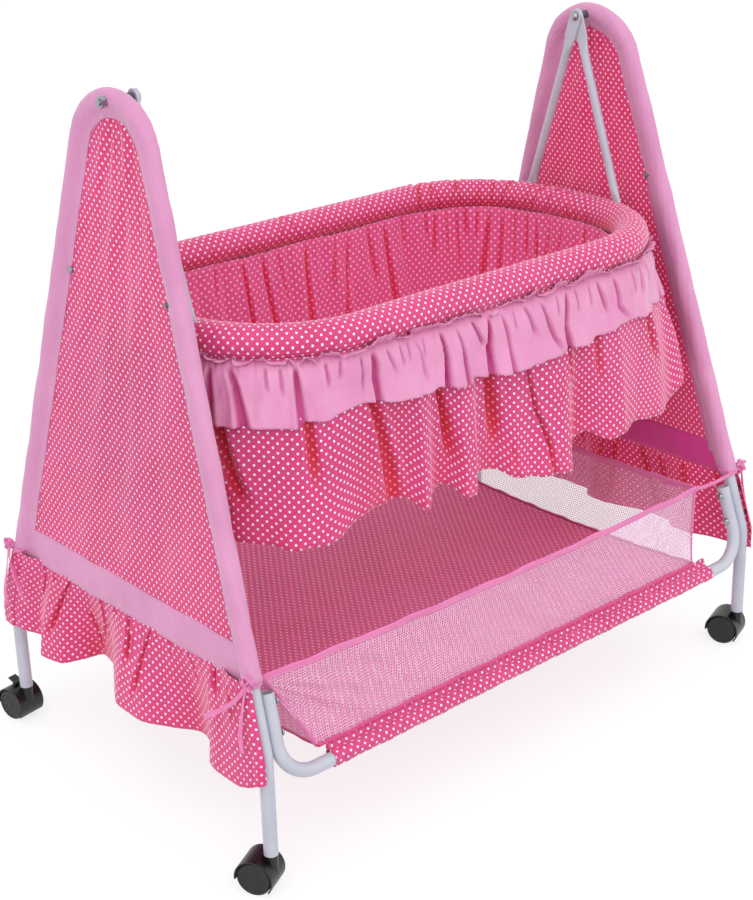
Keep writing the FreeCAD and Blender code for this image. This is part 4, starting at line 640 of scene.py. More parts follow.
def through(knots, around=None):
    """A smooth line through rows of numbers, the first of which climbs; around closes it."""
    rows = [tuple(row) for row in knots]
    first = rows[0][0]
    if around:
        rows = ([(rows[-1][0] - around,) + rows[-1][1:]] + rows
                + [(row[0] + around,) + row[1:] for row in rows[:2]])
    places = [row[0] for row in rows]

    def slope(before, here, after, c):
        back = (here[c] - before[c]) / max(here[0] - before[0], 1e-9)
        ahead = (after[c] - here[c]) / max(after[0] - here[0], 1e-9)
        return 0.0 if back * ahead <= 0 else 2 * back * ahead / (back + ahead)

    def at(s):
        if around:
            s = (s - first) % around + first
        k = min(max(bisect.bisect_right(places, s) - 1, 0), len(rows) - 2)
        a, b = rows[k], rows[k + 1]
        before, after = rows[max(k - 1, 0)], rows[min(k + 2, len(rows) - 1)]
        run = b[0] - a[0]
        t = min(max((s - a[0]) / run, 0.0), 1.0)
        out = []
        for c in range(1, len(a)):
            leave, arrive = slope(before, a, b, c) * run, slope(a, b, after, c) * run
            out.append(a[c] * (1 + 2 * t) * (1 - t) ** 2 + leave * t * (1 - t) ** 2
                       + b[c] * t * t * (3 - 2 * t) - arrive * t * t * (1 - t))
        return out

    return at


# The slight lip beside a groove, as a share of its depth, and where it ends in half widths
LIP, LIP_END = 0.22, 1.9


def hollow(q):
    """A groove's section: one deep at its middle, with a slight lip on each side."""
    q = abs(q)
    if q < 1:
        return (1 - q * q) ** 2 - LIP * q ** 4
    return -LIP * (1 - eased((q - 1) / 0.9))


def grooves_at(grooves, z):
    """The grooves that cross a height: their middles, half widths and depths there.

    A groove is its half widths at its top and its foot, its depth, whether it runs out at
    the hem, and then its places and heights down the cloth."""
    crossing = []
    for top_half, foot_half, deep, to_hem, *line in grooves:
        if not line[-1][1] <= z <= line[0][1]:
            continue
        for (s_a, z_a), (s_b, z_b) in zip(line, line[1:]):
            if z_b <= z <= z_a:
                middle = s_a + (s_b - s_a) * (z_a - z) / (z_a - z_b)
                break
        share = (line[0][1] - z) / (line[0][1] - line[-1][1])
        depth = deep * eased(share * 5 + 0.1) * (1.0 if to_hem else eased((1 - share) * 2.6))
        crossing.append((middle, between(top_half, foot_half, share), depth))
    return crossing


def sunk(crossing, s, around=None):
    """How far in the grooves pull a place."""
    total = 0.0
    for middle, wide, depth in crossing:
        away = s - middle
        if around:
            away = (away + around / 2) % around - around / 2
        if abs(away) < wide * LIP_END:
            total += depth * hollow(away / wide)
    return total


def random_grooves(seed, start, stop, top, foot, step, wide, deep):
    """Uneven gathers along a stretch: some run to the hem, most die out on the way."""
    chance = random.Random(seed)
    grooves, s = [], start
    while s < stop:
        long = chance.random() < 0.4
        low = foot - 12 if long else top - (top - foot) * chance.uniform(0.25, 0.6)
        drift = chance.uniform(-0.16, 0.16) * (top - low)
        half = chance.uniform(*wide)
        grooves.append((half * 0.6, half * (1.5 if long else 1.0),
                        chance.uniform(*deep) * (1.0 if long else 0.6), long, (s, top), (s + drift, low)))
        s += chance.uniform(*step)
    return grooves


def random_stretches(stretches, top, foot, wide, deep):
    """Gathers along several stretches: each one's seed, where it starts and stops, and its steps."""
    return [groove for seed, start, stop, step in stretches
            for groove in random_grooves(seed, start, stop, top, foot, step, wide, deep)]


# The frill under each end band. Its hem is read along the end, as places across, out
# from the foot of the frame, and up; its grooves as places across and up.

END_HEMS = {
    "left": [
        (-300, 12, 164), (-278, 20, 156), (-256, 21, 150), (-214, 20, 150), (-193, 15, 152),
        (-176, -2, 157), (-140, -15, 158), (-96, 2, 154), (-44, 22, 152), (0, 22, 154),
        (26, 10, 158), (60, -18, 164), (109, -31, 167), (130, -8, 160), (150, 16, 155),
        (190, 23, 154), (206, 8, 158), (226, -3, 161), (262, 12, 165), (290, 14, 168),
        (305, 18, 170)],
    "right": [
        (-303, 14, 162), (-282, 20, 156), (-250, 22, 152), (-222, 6, 158), (-190, -18, 164),
        (-158, -10, 160), (-128, 18, 153), (-86, 23, 150), (-62, 4, 157), (-24, -24, 165),
        (14, -14, 161), (40, 16, 154), (92, 22, 151), (118, 6, 157), (150, -16, 163), (186, 2, 157),
        (214, 21, 152), (248, 18, 154), (276, 14, 160), (305, 16, 167)],
}
END_GROOVES = {
    "left": [
        (3.5, 7, 7, False, (224, 286), (215, 258), (221, 228)),
        (4, 11, 9, False, (149, 286), (162, 245), (178, 182)),
        (3.5, 9, 7, False, (76, 286), (72, 236), (90, 192)),
        (4, 10, 6, False, (118, 240), (104, 200), (100, 160)),
        (6, 9, 11, False, (-2, 286), (-12, 256), (-9, 214)),
        (3, 9, 8, False, (-61, 286), (-45, 240), (-27, 172)),
        (3.5, 6, 3.5, False, (-140, 286), (-156, 236)), (6, 8, 9, False, (-207, 288), (-209, 246)),
        (4, 7, 4, False, (-246, 276), (-254, 225)), (3, 5, 3, False, (36, 286), (30, 262)),
        (3, 5, 3, False, (-100, 286), (-104, 258)), (3, 5, 3, False, (186, 286), (190, 262))],
    "right": random_grooves(5, -250, 250, 286, 155, (24, 58), (4.0, 7.0), (6.0, 9.0)),
}
END_COLUMNS, END_STEPS = 560, 40
END_SEAM_Z = 288.5
# The cloth as cut is END_HALF to each side, and is taken in to PAST_LEG beyond the leg at
# every height. Its two edges stand EDGE_OUT from the frame.
END_HALF, PAST_LEG, EDGE_OUT = 302, 14, 8.5
# Its seam lies SEAM_OUT from the frame's plane, and by the legs LEG_OUT further. It passes
# the legs CLEAR_TOP outside them at the seam, and CLEAR_MORE further lower down.
SEAM_OUT, LEG_OUT, CLEAR_TOP, CLEAR_MORE = 0.9, 10.5, 11.2, 6.8
# Where its grooves are read from, and how far down they reach
END_GROOVE_TOP, END_GROOVE_DROP = 288.0, 132.0
# A groove this deep in mm takes the painted shade in folds to its fullest.
FOLD_SHADE_DEEP = 5.0


def end_frill_cloth(side_name, side):
    """The frill under an end band, sewn in at the band's foot and passing outside both legs."""
    hem_at = through(END_HEMS[side_name])
    across = [-300 + 605 * j / END_COLUMNS for j in range(END_COLUMNS + 1)]
    hem = [hem_at(y) for y in across]
    rows, point_shades = [], []
    for v in shares(END_STEPS):
        row, row_shades = [], []
        crossing = grooves_at(END_GROOVES[side_name], END_GROOVE_TOP - END_GROOVE_DROP * v)
        spread = v ** 0.85
        for t, y, (out_low, z_low) in zip(spans(END_COLUMNS), across, hem):
            near = eased((abs(y) - 215) / 45)
            seam_out = SEAM_OUT + LEG_OUT * near
            z = between(END_SEAM_Z, z_low, v)
            out = seam_out + (out_low + 1.5 - seam_out) * spread
            gathers = wave(t, [(61.0, 0.55, 0.1), (83.0, 0.4, 0.4), (37.0, 0.5, 0.2)]) * math.exp(-v * 7.0)
            groove = sunk(crossing, y) * (1 - eased(v * 3.6 - 2.6))
            out += (gathers - groove) * (1 - 0.5 * near) * eased(v * 9)
            # Painted shade: darker in the grooves, and where the hem tucks in.
            row_shades.append(groove / FOLD_SHADE_DEEP + max(0.0, 4.0 - out_low) / 50.0 * v)
            # Clear of the leg, whose own line leans in towards the top.
            wide = y * (leg_y(z) + PAST_LEG) / END_HALF
            by_leg = eased((abs(wide) - (leg_y(z) - 34)) / 20)
            clear = CLEAR_TOP + CLEAR_MORE * eased((END_GROOVE_TOP - z) / 22)
            out = max(out, clear * by_leg - 40 * (1 - by_leg))
            edge = eased((abs(wide) - (leg_y(z) + 5)) / 9)
            out = out * (1 - edge) + EDGE_OUT * edge
            row.append(place(side * (frame_x(z) + out), wide, z))
        rows.append(row)
        point_shades.append(row_shades)
    piece = cloth_piece(side_name + "_end_frill_cloth", rows, dotted_poplin, thickness=0.7, flip=side > 0,
                        point_shades=point_shades)
    settle(piece, "frame", [side_name + "_end_frill"])
    cloth_size(rows)


each(SIDES, end_frill_cloth)


# The bed's rim is a rounded rectangle; s runs along it from the middle of the left end,
# by the front to the right end and back, and out is square to it.

RIM_X, RIM_Y, RIM_CORNER, RIM_Z = 392.0, 212.0, 170.0, 672.0
ROLL_R = 23.7
FLAT_X, FLAT_Y = RIM_X - RIM_CORNER, RIM_Y - RIM_CORNER
RIM_BEND = RIM_CORNER * math.pi / 2
# Each run of the rim: its length and either where it starts and which way it goes, or its
# bend's middle and the angle it starts at
RIM_RUNS = [(FLAT_Y, (-RIM_X, 0), (0, -1)), (RIM_BEND, (-FLAT_X, -FLAT_Y), 180),
            (2 * FLAT_X, (-FLAT_X, -RIM_Y), (1, 0)), (RIM_BEND, (FLAT_X, -FLAT_Y), 270),
            (2 * FLAT_Y, (RIM_X, -FLAT_Y), (0, 1)), (RIM_BEND, (FLAT_X, FLAT_Y), 0),
            (2 * FLAT_X, (FLAT_X, RIM_Y), (-1, 0)), (RIM_BEND, (-FLAT_X, FLAT_Y), 90),
            (FLAT_Y, (-RIM_X, FLAT_Y), (0, -1))]
RIM_LENGTH = sum(run[0] for run in RIM_RUNS)


def rim_line(s):
    """The rim's centre line: place in plan and outward way, both in millimetres."""
    s %= RIM_LENGTH
    for run, (x, y), way in RIM_RUNS:
        if s <= run:
            break
        s -= run
    else:
        s += run
    if isinstance(way, tuple):
        return (x + way[0] * s, y + way[1] * s), (way[1], -way[0])
    angle = math.radians(way) + s / RIM_CORNER
    out = (math.cos(angle), math.sin(angle))
    return (x + out[0] * RIM_CORNER, y + out[1] * RIM_CORNER), out


def by_rim(s, off, z):
    """A point beside the rim: along it, out from it and at a height."""
    (x, y), out = rim_line(s)
    return place(x + out[0] * off, y + out[1] * off, z)


def rim_stations(count):
    return [RIM_LENGTH * j / count for j in range(count)]


def rim_wave(s, parts, shift=0.0):
    """A sum of sines in turns round the whole rim."""
    return wave(s / RIM_LENGTH + shift, parts)


# Gathers in the roll's cloth and the lining: most where the rim turns
ROLL_GROOVES = random_stretches([(31, 1130, 1350, (13, 26)), (32, 1350, 1800, (40, 90)),
                                 (33, 1800, 2060, (15, 30)), (35, 1010, 1110, (12, 24))],
                                302, 130, (3.0, 5.4), (1.5, 3.2))
LINING_GROOVES = random_stretches([(41, 1120, 1330, (14, 26)), (42, 1330, 1820, (26, 58)),
                                   (43, 1820, 2080, (16, 34)), (44, 20, 1100, (24, 52))],
                                  656, 460, (6.0, 11.0), (3.5, 7.5))
ROLL_STATIONS, ROLL_AROUND = 900, 40
BEND_MIDDLES, BEND_REACH = (175, 887, 1237, 1949), 120
# Round the roll, in degrees: its seam, drawn in by STITCH_DEEP, and the painted shade on its side inside
# the bed
STITCH_AT, STITCH_DEEP, SHADE_AT, SHADE_REACH = 215, 1.6, 208, 26
ROLL_SHADE_DEEP = 2.4


def rim_cover():
    """The foam-filled roll round the rim, pulled into small gathers where it turns."""
    rows, point_shades = [], []
    for k in range(ROLL_AROUND):
        angle = TURN * k / ROLL_AROUND
        # Gathers run over the roll from the seam inside the bed, and die out on the outside.
        crossing = grooves_at(ROLL_GROOVES, (math.degrees(angle) + 90) % 360)
        stitched = STITCH_DEEP * bell(angle - math.radians(STITCH_AT), 0.22)
        row, row_shades = [], []
        for s in rim_stations(ROLL_STATIONS):
            turning = sum(bell(s - middle, BEND_REACH) for middle in BEND_MIDDLES)
            ridges = rim_wave(s, [(83, 0.45, 0.1), (131, 0.32, 0.5), (197, 0.2, 0.8)])
            ridges *= (0.25 + 0.75 * min(1.0, turning)) * (0.6 + 0.4 * math.cos(angle - 0.9))
            sag = 0.7 * rim_wave(s, [(5, 1.0, 0.2), (9, 0.6, 0.7)])
            groove = sunk(crossing, s, RIM_LENGTH)
            # Painted shade: darker in the gathers and on the roll's side inside the bed.
            row_shades.append(groove / ROLL_SHADE_DEEP + 0.5 * bell(math.degrees(angle) - SHADE_AT, SHADE_REACH))
            radius = ROLL_R + 0.6 * ridges + sag * 0.6 - stitched - groove
            row.append(by_rim(s, radius * math.cos(angle), RIM_Z + radius * math.sin(angle)))
        rows.append(row)
        point_shades.append(row_shades)
    piece = cloth_piece("rim_cover_cloth", rows, dotted_poplin, closed=True, loop_down=True, flip=True,
                        point_shades=point_shades)
    settle(piece, "cradle", ["rim_cover"])


rim_cover()


# The bed's bag: lining walls gathered into the seam under the roll, and a flat floor.

BAG_TOP, BAG_FOOT, BAG_OFF, BAG_TAPER = 656.0, 445.0, -17.0, 30.0
# The lining keeps this far inside the rim's line, clear of the roll's own cloth.
LINING_CLEAR = -13.5
LINING_STATIONS, LINING_STEPS = 1100, 30
# How far the lining bellies, and how deep a gather takes its painted shade to the full.
LINING_BELLY, LINING_SHADE_DEEP = 5.0, 4.0


def bag_walls():
    """The lining; gives back its lowest row."""
    rows, point_shades = [], []
    for v in shares(LINING_STEPS):
        row, row_shades = [], []
        crossing = grooves_at(LINING_GROOVES, BAG_TOP - 2 - (BAG_TOP - BAG_FOOT - 4) * v)
        belly = LINING_BELLY * math.sin(math.pi * v)
        for s in rim_stations(LINING_STATIONS):
            small = rim_wave(s, [(91, 0.9, 0.2), (67, 0.8, 0.6), (139, 0.4, 0.9)]) * (1 - v) ** 1.6
            broad = rim_wave(s, [(37, 1.3, 0.1), (23, 1.2, 0.4), (53, 0.8, 0.75)], 0.015 * v)
            broad *= math.sin(math.pi * min(1.0, 0.18 + v * 0.82)) ** 0.7
            groove = 0.8 * sunk(crossing, s, RIM_LENGTH)
            # Painted shade: darker in the gathers, and a little darker all over.
            row_shades.append(groove / LINING_SHADE_DEEP + 0.2)
            off = (BAG_OFF - BAG_TAPER * v + belly + small + broad - 1.5
                   + groove * math.sin(math.pi * min(1.0, 0.12 + v)))
            z = BAG_TOP + (BAG_FOOT - BAG_TOP) * v + rim_wave(s, [(12, 1.2, 0.3)]) * (1 - v)
            row.append(by_rim(s, min(off, LINING_CLEAR), z))
        rows.append(row)
        point_shades.append(row_shades)
    # Painted light: the lining uses the copy of the dotted poplin painted paler.
    piece = cloth_piece("bed_lining_cloth", rows, dotted_poplin_painted_lighter, closed=True, thickness=1.0,
                        point_shades=point_shades)
    settle(piece, "cradle", ["bed_bag"])
    cloth_size(rows, True)
    return rows[-1]


# Rings that close a round piece stop short of its very middle, which stays a tiny hole.
NEARLY = 0.995
FLOOR_RINGS = 12


def bag_floor(edge):
    """The bag's bottom: the wall's own edge carried in to the middle, sagging a little."""
    middle = place(0, 0, BAG_FOOT)
    rows = []
    for share in shares(FLOOR_RINGS):
        row = [p.lerp(middle, share * NEARLY) for p in edge]
        for p, q in zip(edge, row):
            q.z = p.z * (1 - share) + (BAG_FOOT - 0.5) * MM * share
        rows.append(row)
    # Painted light: the bed's floor uses the copy of the dotted poplin painted paler.
    piece = cloth_piece("bed_bag_floor_cloth", rows, dotted_poplin_painted_lighter, closed=True, thickness=1.0)
    lay_print(piece, lambda p: (p.x, p.y))
    settle(piece, "cradle")


bag_floor(bag_walls())


# The mattress: foam in a dotted cover, crowned, with bulging sides.

MATTRESS_LOW, MATTRESS_HIGH, MATTRESS_OFF, MATTRESS_SWELL = 451.4, 474.4, -59.5, 3.8
MATTRESS_STATIONS, MATTRESS_LEVELS, TOP_RINGS, UNDER_RINGS = 220, 9, 15, 6
EDGE_BULGE, CROWN, DIMPLE = 6.0, 7.0, 1.2
SWELL_MESH, SWELL_FRAMES = 0.006, 20


def swell(piece, most, floor_mm):
    """Blows a closed cover up by cloth simulation, moving no point further than most mm."""
    bpy.ops.object.select_all(action="DESELECT")
    bpy.context.view_layer.objects.active = piece
    piece.select_set(True)
    remesh = piece.modifiers.new("even_mesh", "REMESH")
    remesh.mode, remesh.voxel_size = "VOXEL", SWELL_MESH
    bpy.ops.object.modifier_apply(modifier=remesh.name)
    before = [vertex.co.copy() for vertex in piece.data.vertices]
    cloth = piece.modifiers.new("filled_cover", "CLOTH")
    for name, value in {"quality": 5, "mass": 0.15, "tension_stiffness": 12.0,
                        "compression_stiffness": 12.0, "shear_stiffness": 4.0, "bending_stiffness": 0.6,
                        "use_pressure": True, "uniform_pressure_force": 4.0}.items():
        setattr(cloth.settings, name, value)
    cloth.settings.effector_weights.gravity = 0.0
    cloth.point_cache.frame_start, cloth.point_cache.frame_end = 1, SWELL_FRAMES
    scene = bpy.context.scene
    for frame_number in range(1, SWELL_FRAMES + 1):
        scene.frame_set(frame_number)
    blown = piece.evaluated_get(bpy.context.evaluated_depsgraph_get())
    after = [vertex.co.copy() for vertex in blown.data.vertices]
    piece.modifiers.remove(cloth)
    scene.frame_set(1)
    for vertex, start, end in zip(piece.data.vertices, before, after):
        moved = end - start
        if moved.length > most * MM:
            moved *= most * MM / moved.length
        vertex.co = start + moved
        vertex.co.z = max(vertex.co.z, floor_mm * MM)
    smooth = piece.modifiers.new("smooth_cover", "SUBSURF")
    smooth.levels = smooth.render_levels = 1
    bpy.ops.object.modifier_apply(modifier=smooth.name)
    piece.data.shade_smooth()
    piece.select_set(False)


def mattress():
    low, high = MATTRESS_LOW, MATTRESS_HIGH
    rows = []
    for share in shares(MATTRESS_LEVELS):
        angle = math.pi * share - math.pi / 2
        off = MATTRESS_OFF + math.cos(angle) * EDGE_BULGE
        z = (low + high) / 2 + math.sin(angle) * (high - low) / 2
        rows.append([by_rim(s, off, z) for s in rim_stations(MATTRESS_STATIONS)])
    under, top = rows[0], rows[-1]
    for share in shares(TOP_RINGS)[1:]:
        crown = CROWN * math.sin(math.pi / 2 * min(1.0, share * 1.6)) ** 0.8
        row = [p.lerp(place(0, 0, high), share * NEARLY) for p in top]
        for q in row:
            dimple = DIMPLE * wave(q.x * 6 + 0.3, [(1.0, 0.6, 0.1)]) * wave(q.y * 8, [(1.0, 0.6, 0.4)])
            q.z = (high + crown + dimple * share) * MM
        rows.append(row)
    lower = [[p.lerp(place(0, 0, low), share * NEARLY) for p in under]
             for share in reversed(shares(UNDER_RINGS)[1:])]
    piece = close_ends(cloth_piece("mattress_cover", lower + rows, dotted_poplin, closed=True))
    swell(piece, MATTRESS_SWELL, low)
    lay_print(piece, lambda p: (p.x + p.z, p.y + p.z * 0.5))
    settle(piece, "cradle", ["mattress"])


mattress()


# Round the rim hang a long dotted skirt and, over it, a short satin frill with a
# ruffled heading. Hems are read along the rim: the place, how far out, and how high. The
# heading's rows are the place, how upright it stands, from 0 to 1, and how tall it is.

SKIRT_HEM = [
    (15, 34, 416), (50, 42, 410), (78, 38, 414), (92, 26, 424), (112, 24, 428), (128, 34, 424),
    (143, 42, 420), (174, 40, 416), (206, 40, 407), (236, 37, 409), (252, 33, 414), (266, 28, 424),
    (285, 21, 432), (310, 16, 434), (338, 14, 434), (358, 17, 431), (369, 26, 423), (377, 38, 413),
    (386, 36, 416), (393, 30, 421), (402, 22, 428), (415, 18, 431), (431, 20, 429), (440, 31, 419),
    (448, 42, 412), (466, 42, 411), (475, 32, 420), (484, 23, 427), (500, 19, 429), (518, 21, 426),
    (532, 29, 417), (546, 37, 408), (575, 40, 402), (606, 44, 396), (634, 50, 392), (647, 47, 394),
    (658, 36, 401), (668, 25, 415), (680, 20, 428), (696, 26, 431), (714, 39, 421), (735, 46, 415),
    (755, 47, 415), (770, 41, 419), (790, 38, 421), (815, 46, 415), (840, 54, 411), (862, 59, 413),
    (880, 67, 420), (900, 88, 438), (922, 78, 442), (948, 48, 432), (972, 26, 428), (992, 36, 416),
    (1012, 42, 411), (1034, 26, 425), (1060, 22, 429), (1085, 41, 410), (1112, 44, 409),
    (1130, 26, 425), (1152, 21, 431), (1180, 40, 412), (1215, 46, 404), (1240, 40, 408),
    (1256, 24, 425), (1290, 18, 430), (1318, 38, 413), (1350, 47, 402), (1382, 42, 408),
    (1396, 22, 427), (1428, 17, 432), (1452, 36, 416), (1490, 46, 404), (1530, 44, 406),
    (1546, 25, 423), (1580, 20, 430), (1604, 40, 412), (1640, 48, 400), (1672, 40, 410),
    (1686, 22, 427), (1716, 18, 431), (1740, 38, 414), (1784, 46, 405), (1812, 38, 412),
    (1828, 22, 426), (1858, 19, 430), (1884, 40, 410), (1925, 44, 404), (1945, 36, 412),
    (1960, 22, 427), (1990, 18, 430), (2012, 36, 414), (2050, 42, 408), (2076, 36, 413),
    (2090, 22, 426), (2112, 21, 428)]
SKIRT_GROOVES = [
    (8, 16, 9, False, (117, 640), (125, 555), (138, 505), (157, 450)),
    (6, 12, 6, False, (221, 640), (223, 568), (229, 480)),
    (8, 17, 9, True, (300, 640), (305, 577), (318, 532), (332, 475), (341, 418)),
    (7, 13, 8, False, (412, 640), (416, 568), (428, 520), (438, 440)),
    (9, 18, 8, False, (500, 640), (508, 558), (514, 510), (520, 440)),
    (4, 7.5, 9, True, (570, 600), (574, 557), (584, 511), (606, 461), (624, 380)),
    (6, 8, 7, False, (650, 640), (658, 558), (668, 512)),
    (6, 12, 3.5, False, (712, 600), (718, 490)),
    (7, 12, 6.5, False, (812, 650), (826, 570), (845, 480)),
    (5, 9, 3, True, (540, 470), (552, 400)), (7, 12, 6, False, (890, 640), (905, 520), (915, 440))
] + (random_grooves(11, 940, 2110, 645, 410, (42, 95), (7.0, 12.0), (6.0, 9.0))
     + random_grooves(12, 10, 90, 645, 410, (40, 60), (7.0, 10.0), (5.0, 8.0)))
FRILL_HEM = [
    (20, 36, 574), (60, 40, 570), (84, 32, 578), (104, 34, 578), (125, 41, 575), (146, 40, 574),
    (185, 37, 572), (212, 37, 571), (220, 32, 577), (243, 35, 576), (256, 29, 580), (283, 27, 586),
    (300, 28, 585), (316, 31, 581), (334, 34, 577), (360, 36, 575), (392, 35, 574), (407, 33, 577),
    (422, 37, 574), (443, 44, 570), (456, 43, 569), (465, 36, 576), (482, 40, 573), (505, 42, 570),
    (530, 44, 565), (556, 44, 565), (582, 43, 566), (612, 42, 566), (636, 42, 568), (643, 38, 574),
    (662, 40, 569), (687, 39, 567), (702, 38, 575), (733, 37, 573), (758, 36, 578), (783, 35, 579),
    (808, 39, 574), (828, 39, 574), (839, 33, 580), (862, 41, 574), (900, 38, 572), (930, 33, 579),
    (958, 39, 569), (985, 39, 570), (1000, 33, 578), (1030, 32, 577), (1060, 36, 570),
    (1092, 36, 571), (1110, 32, 580), (1140, 33, 576), (1170, 37, 568), (1210, 39, 570),
    (1232, 33, 578), (1262, 34, 577), (1290, 43, 569), (1330, 44, 567), (1352, 35, 577),
    (1380, 34, 579), (1410, 42, 570), (1450, 43, 568), (1470, 34, 577), (1502, 35, 576),
    (1530, 43, 569), (1572, 44, 568), (1590, 34, 578), (1622, 35, 577), (1650, 42, 570),
    (1692, 43, 568), (1715, 33, 579), (1742, 36, 576), (1772, 44, 569), (1808, 42, 568),
    (1830, 34, 577), (1862, 35, 577), (1890, 43, 570), (1930, 44, 567), (1952, 34, 578),
    (1984, 36, 576), (2012, 43, 569), (2050, 42, 570), (2076, 33, 578), (2102, 34, 577)]
FRILL_GROOVES = [
    (4, 10, 7, True, (118, 650), (119, 560)), (5, 10, 8, True, (139, 650), (148, 628), (158, 560)),
    (4, 8, 10, True, (211, 650), (217, 560)), (1.8, 3, 4, False, (286, 650), (290, 590)),
    (5, 9, 9, True, (304, 650), (305, 615), (311, 560)),
    (4, 8, 9, True, (416, 650), (423, 614), (420, 560)),
    (3.5, 7, 5.5, True, (442, 650), (452, 613), (454, 560)),
    (3.5, 6, 6, False, (472, 650), (490, 612)),
    (3.5, 14, 10, True, (503, 650), (496, 615), (499, 560)),
    (3.5, 8, 5, True, (526, 650), (541, 560)), (4, 7, 4.5, False, (568, 650), (587, 608)),
    (3.5, 8, 5, False, (598, 650), (619, 604), (640, 575)),
    (4, 8.5, 9.5, True, (652, 650), (644, 608), (654, 560)),
    (3.5, 7, 5, False, (714, 650), (722, 622), (734, 600)),
    (4, 8, 5, False, (748, 650), (756, 606), (782, 575)), (4, 7, 6, True, (826, 650), (838, 560)),
    (5, 9, 7, True, (876, 650), (886, 560)), (2.5, 4, 3.5, False, (179, 650), (181, 618)),
    (2.5, 4, 3.5, False, (195, 650), (197, 612)), (2.5, 4.5, 4, False, (244, 650), (247, 614)),
    (2.5, 4, 3, False, (262, 650), (260, 620)), (2.5, 4.5, 3.5, False, (324, 650), (338, 612)),
    (2, 4, 3, False, (345, 650), (350, 618)), (2, 3.5, 3, False, (359, 650), (361, 624)),
    (2, 3.5, 3, False, (385, 650), (386, 622)), (2.5, 6, 2.5, False, (372, 650), (392, 585)),
    (2, 3.5, 3, False, (546, 650), (549, 622)), (2.5, 4, 3, False, (632, 650), (630, 622)),
    (2.5, 4, 3.5, False, (668, 650), (672, 618)), (2.5, 4.5, 3, False, (695, 650), (698, 616)),
    (2.5, 4.5, 3, False, (785, 650), (790, 610)), (2.5, 4.5, 3.5, False, (806, 650), (808, 606))
] + (random_grooves(21, 905, 2110, 650, 572, (16, 44), (3.0, 6.5), (5.0, 9.0))
     + random_grooves(22, 6, 100, 650, 572, (18, 40), (3.0, 6.5), (5.0, 8.0)))
HEADING = [
    (12, 0.8, 12), (48, 0.1, 11), (80, 0.9, 12), (106, 1, 13), (120, 0.35, 10), (132, 0.1, 11),
    (140, 0.9, 11), (154, -0.2, 10), (167, 0.8, 10), (178, 0.7, 10), (194, 0, 10), (205, 0.7, 9),
    (216, -0.9, 12), (223, 0.6, 9), (230, -0.3, 9), (246, 0.9, 11), (265, 0, 10), (294, 0.5, 11),
    (312, 1, 18), (334, 1, 16), (342, 0.7, 11), (364, 0.1, 10), (370, 1, 13), (400, 0.8, 11),
    (424, 0.3, 10), (440, 0.8, 11), (466, 0.7, 11), (486, 0.2, 10), (511, -0.6, 11), (530, 0.5, 9),
    (549, 0.7, 9), (567, 0.2, 9), (590, 1, 14), (611, 0, 10), (638, 1, 15), (659, 0.2, 10),
    (686, 1, 19), (719, 1, 16), (738, 0.3, 11), (753, 0.8, 11), (781, 0.6, 11), (806, 0.2, 10),
    (830, 0.9, 13), (860, 0.1, 11), (884, 0.9, 12), (915, 0, 10), (940, 1, 14), (975, 0.3, 10),
    (1010, 0.9, 12), (1050, -0.2, 11), (1084, 1, 13), (1120, 0.2, 11), (1160, 0.9, 12),
    (1196, -0.3, 11), (1240, 1, 14), (1280, 0.3, 10), (1325, 0.9, 13), (1366, 0, 11), (1410, 1, 12),
    (1448, 0.2, 10), (1496, 0.9, 14), (1540, -0.3, 11), (1580, 0.9, 12), (1626, 0.2, 11),
    (1668, 1, 13), (1712, 0, 11), (1760, 0.9, 13), (1806, 0.3, 10), (1850, 1, 12), (1898, -0.2, 11),
    (1940, 0.9, 13), (1984, 0.2, 11), (2030, 1, 12), (2078, 0.1, 11)]
SEAM_Z, SKIRT_TOP = 655.0, 657.0
# How far out from the rim's line the skirt starts, turns out over its seam and then hangs,
# and how far out the frill and its heading start
SKIRT_OFF, SKIRT_TURN, SKIRT_HANG, FRILL_OFF, HEADING_OFF = 18.6, 3.5, 22.1, 21.2, 21.6
# How far down their grooves reach, how deep a groove is for the frill's painted shade to be full,
# and the least that the frill stands off the skirt and its heading off the roll
SKIRT_DROP, FRILL_DROP, FRILL_SHADE_DEEP, OFF_SKIRT, OFF_ROLL = 240.0, 74.0, 5.5, 1.6, 1.4
SKIRT_STATIONS, SKIRT_STEPS = 1000, 44
FRILL_STATIONS, HEADING_ROWS, FRILL_STEPS = 1280, 6, 28


def round_roll(z, clear):
    """How far out the padded roll reaches at a height, with some air."""
    return math.sqrt(max((ROLL_R + clear) ** 2 - (z - RIM_Z) ** 2, 0.0))


def skirt_out(out_low, z, z_low):
    """The skirt's distance out between its top and its hem, without its grooves."""
    v = min(max((SKIRT_TOP - z) / (SKIRT_TOP - z_low), 0.0), 1.0)
    grow = 0.62 * v + 0.38 * math.sin(math.pi / 2 * v)
    return SKIRT_OFF + SKIRT_TURN * eased(v * 2.5) + (out_low - SKIRT_HANG) * grow


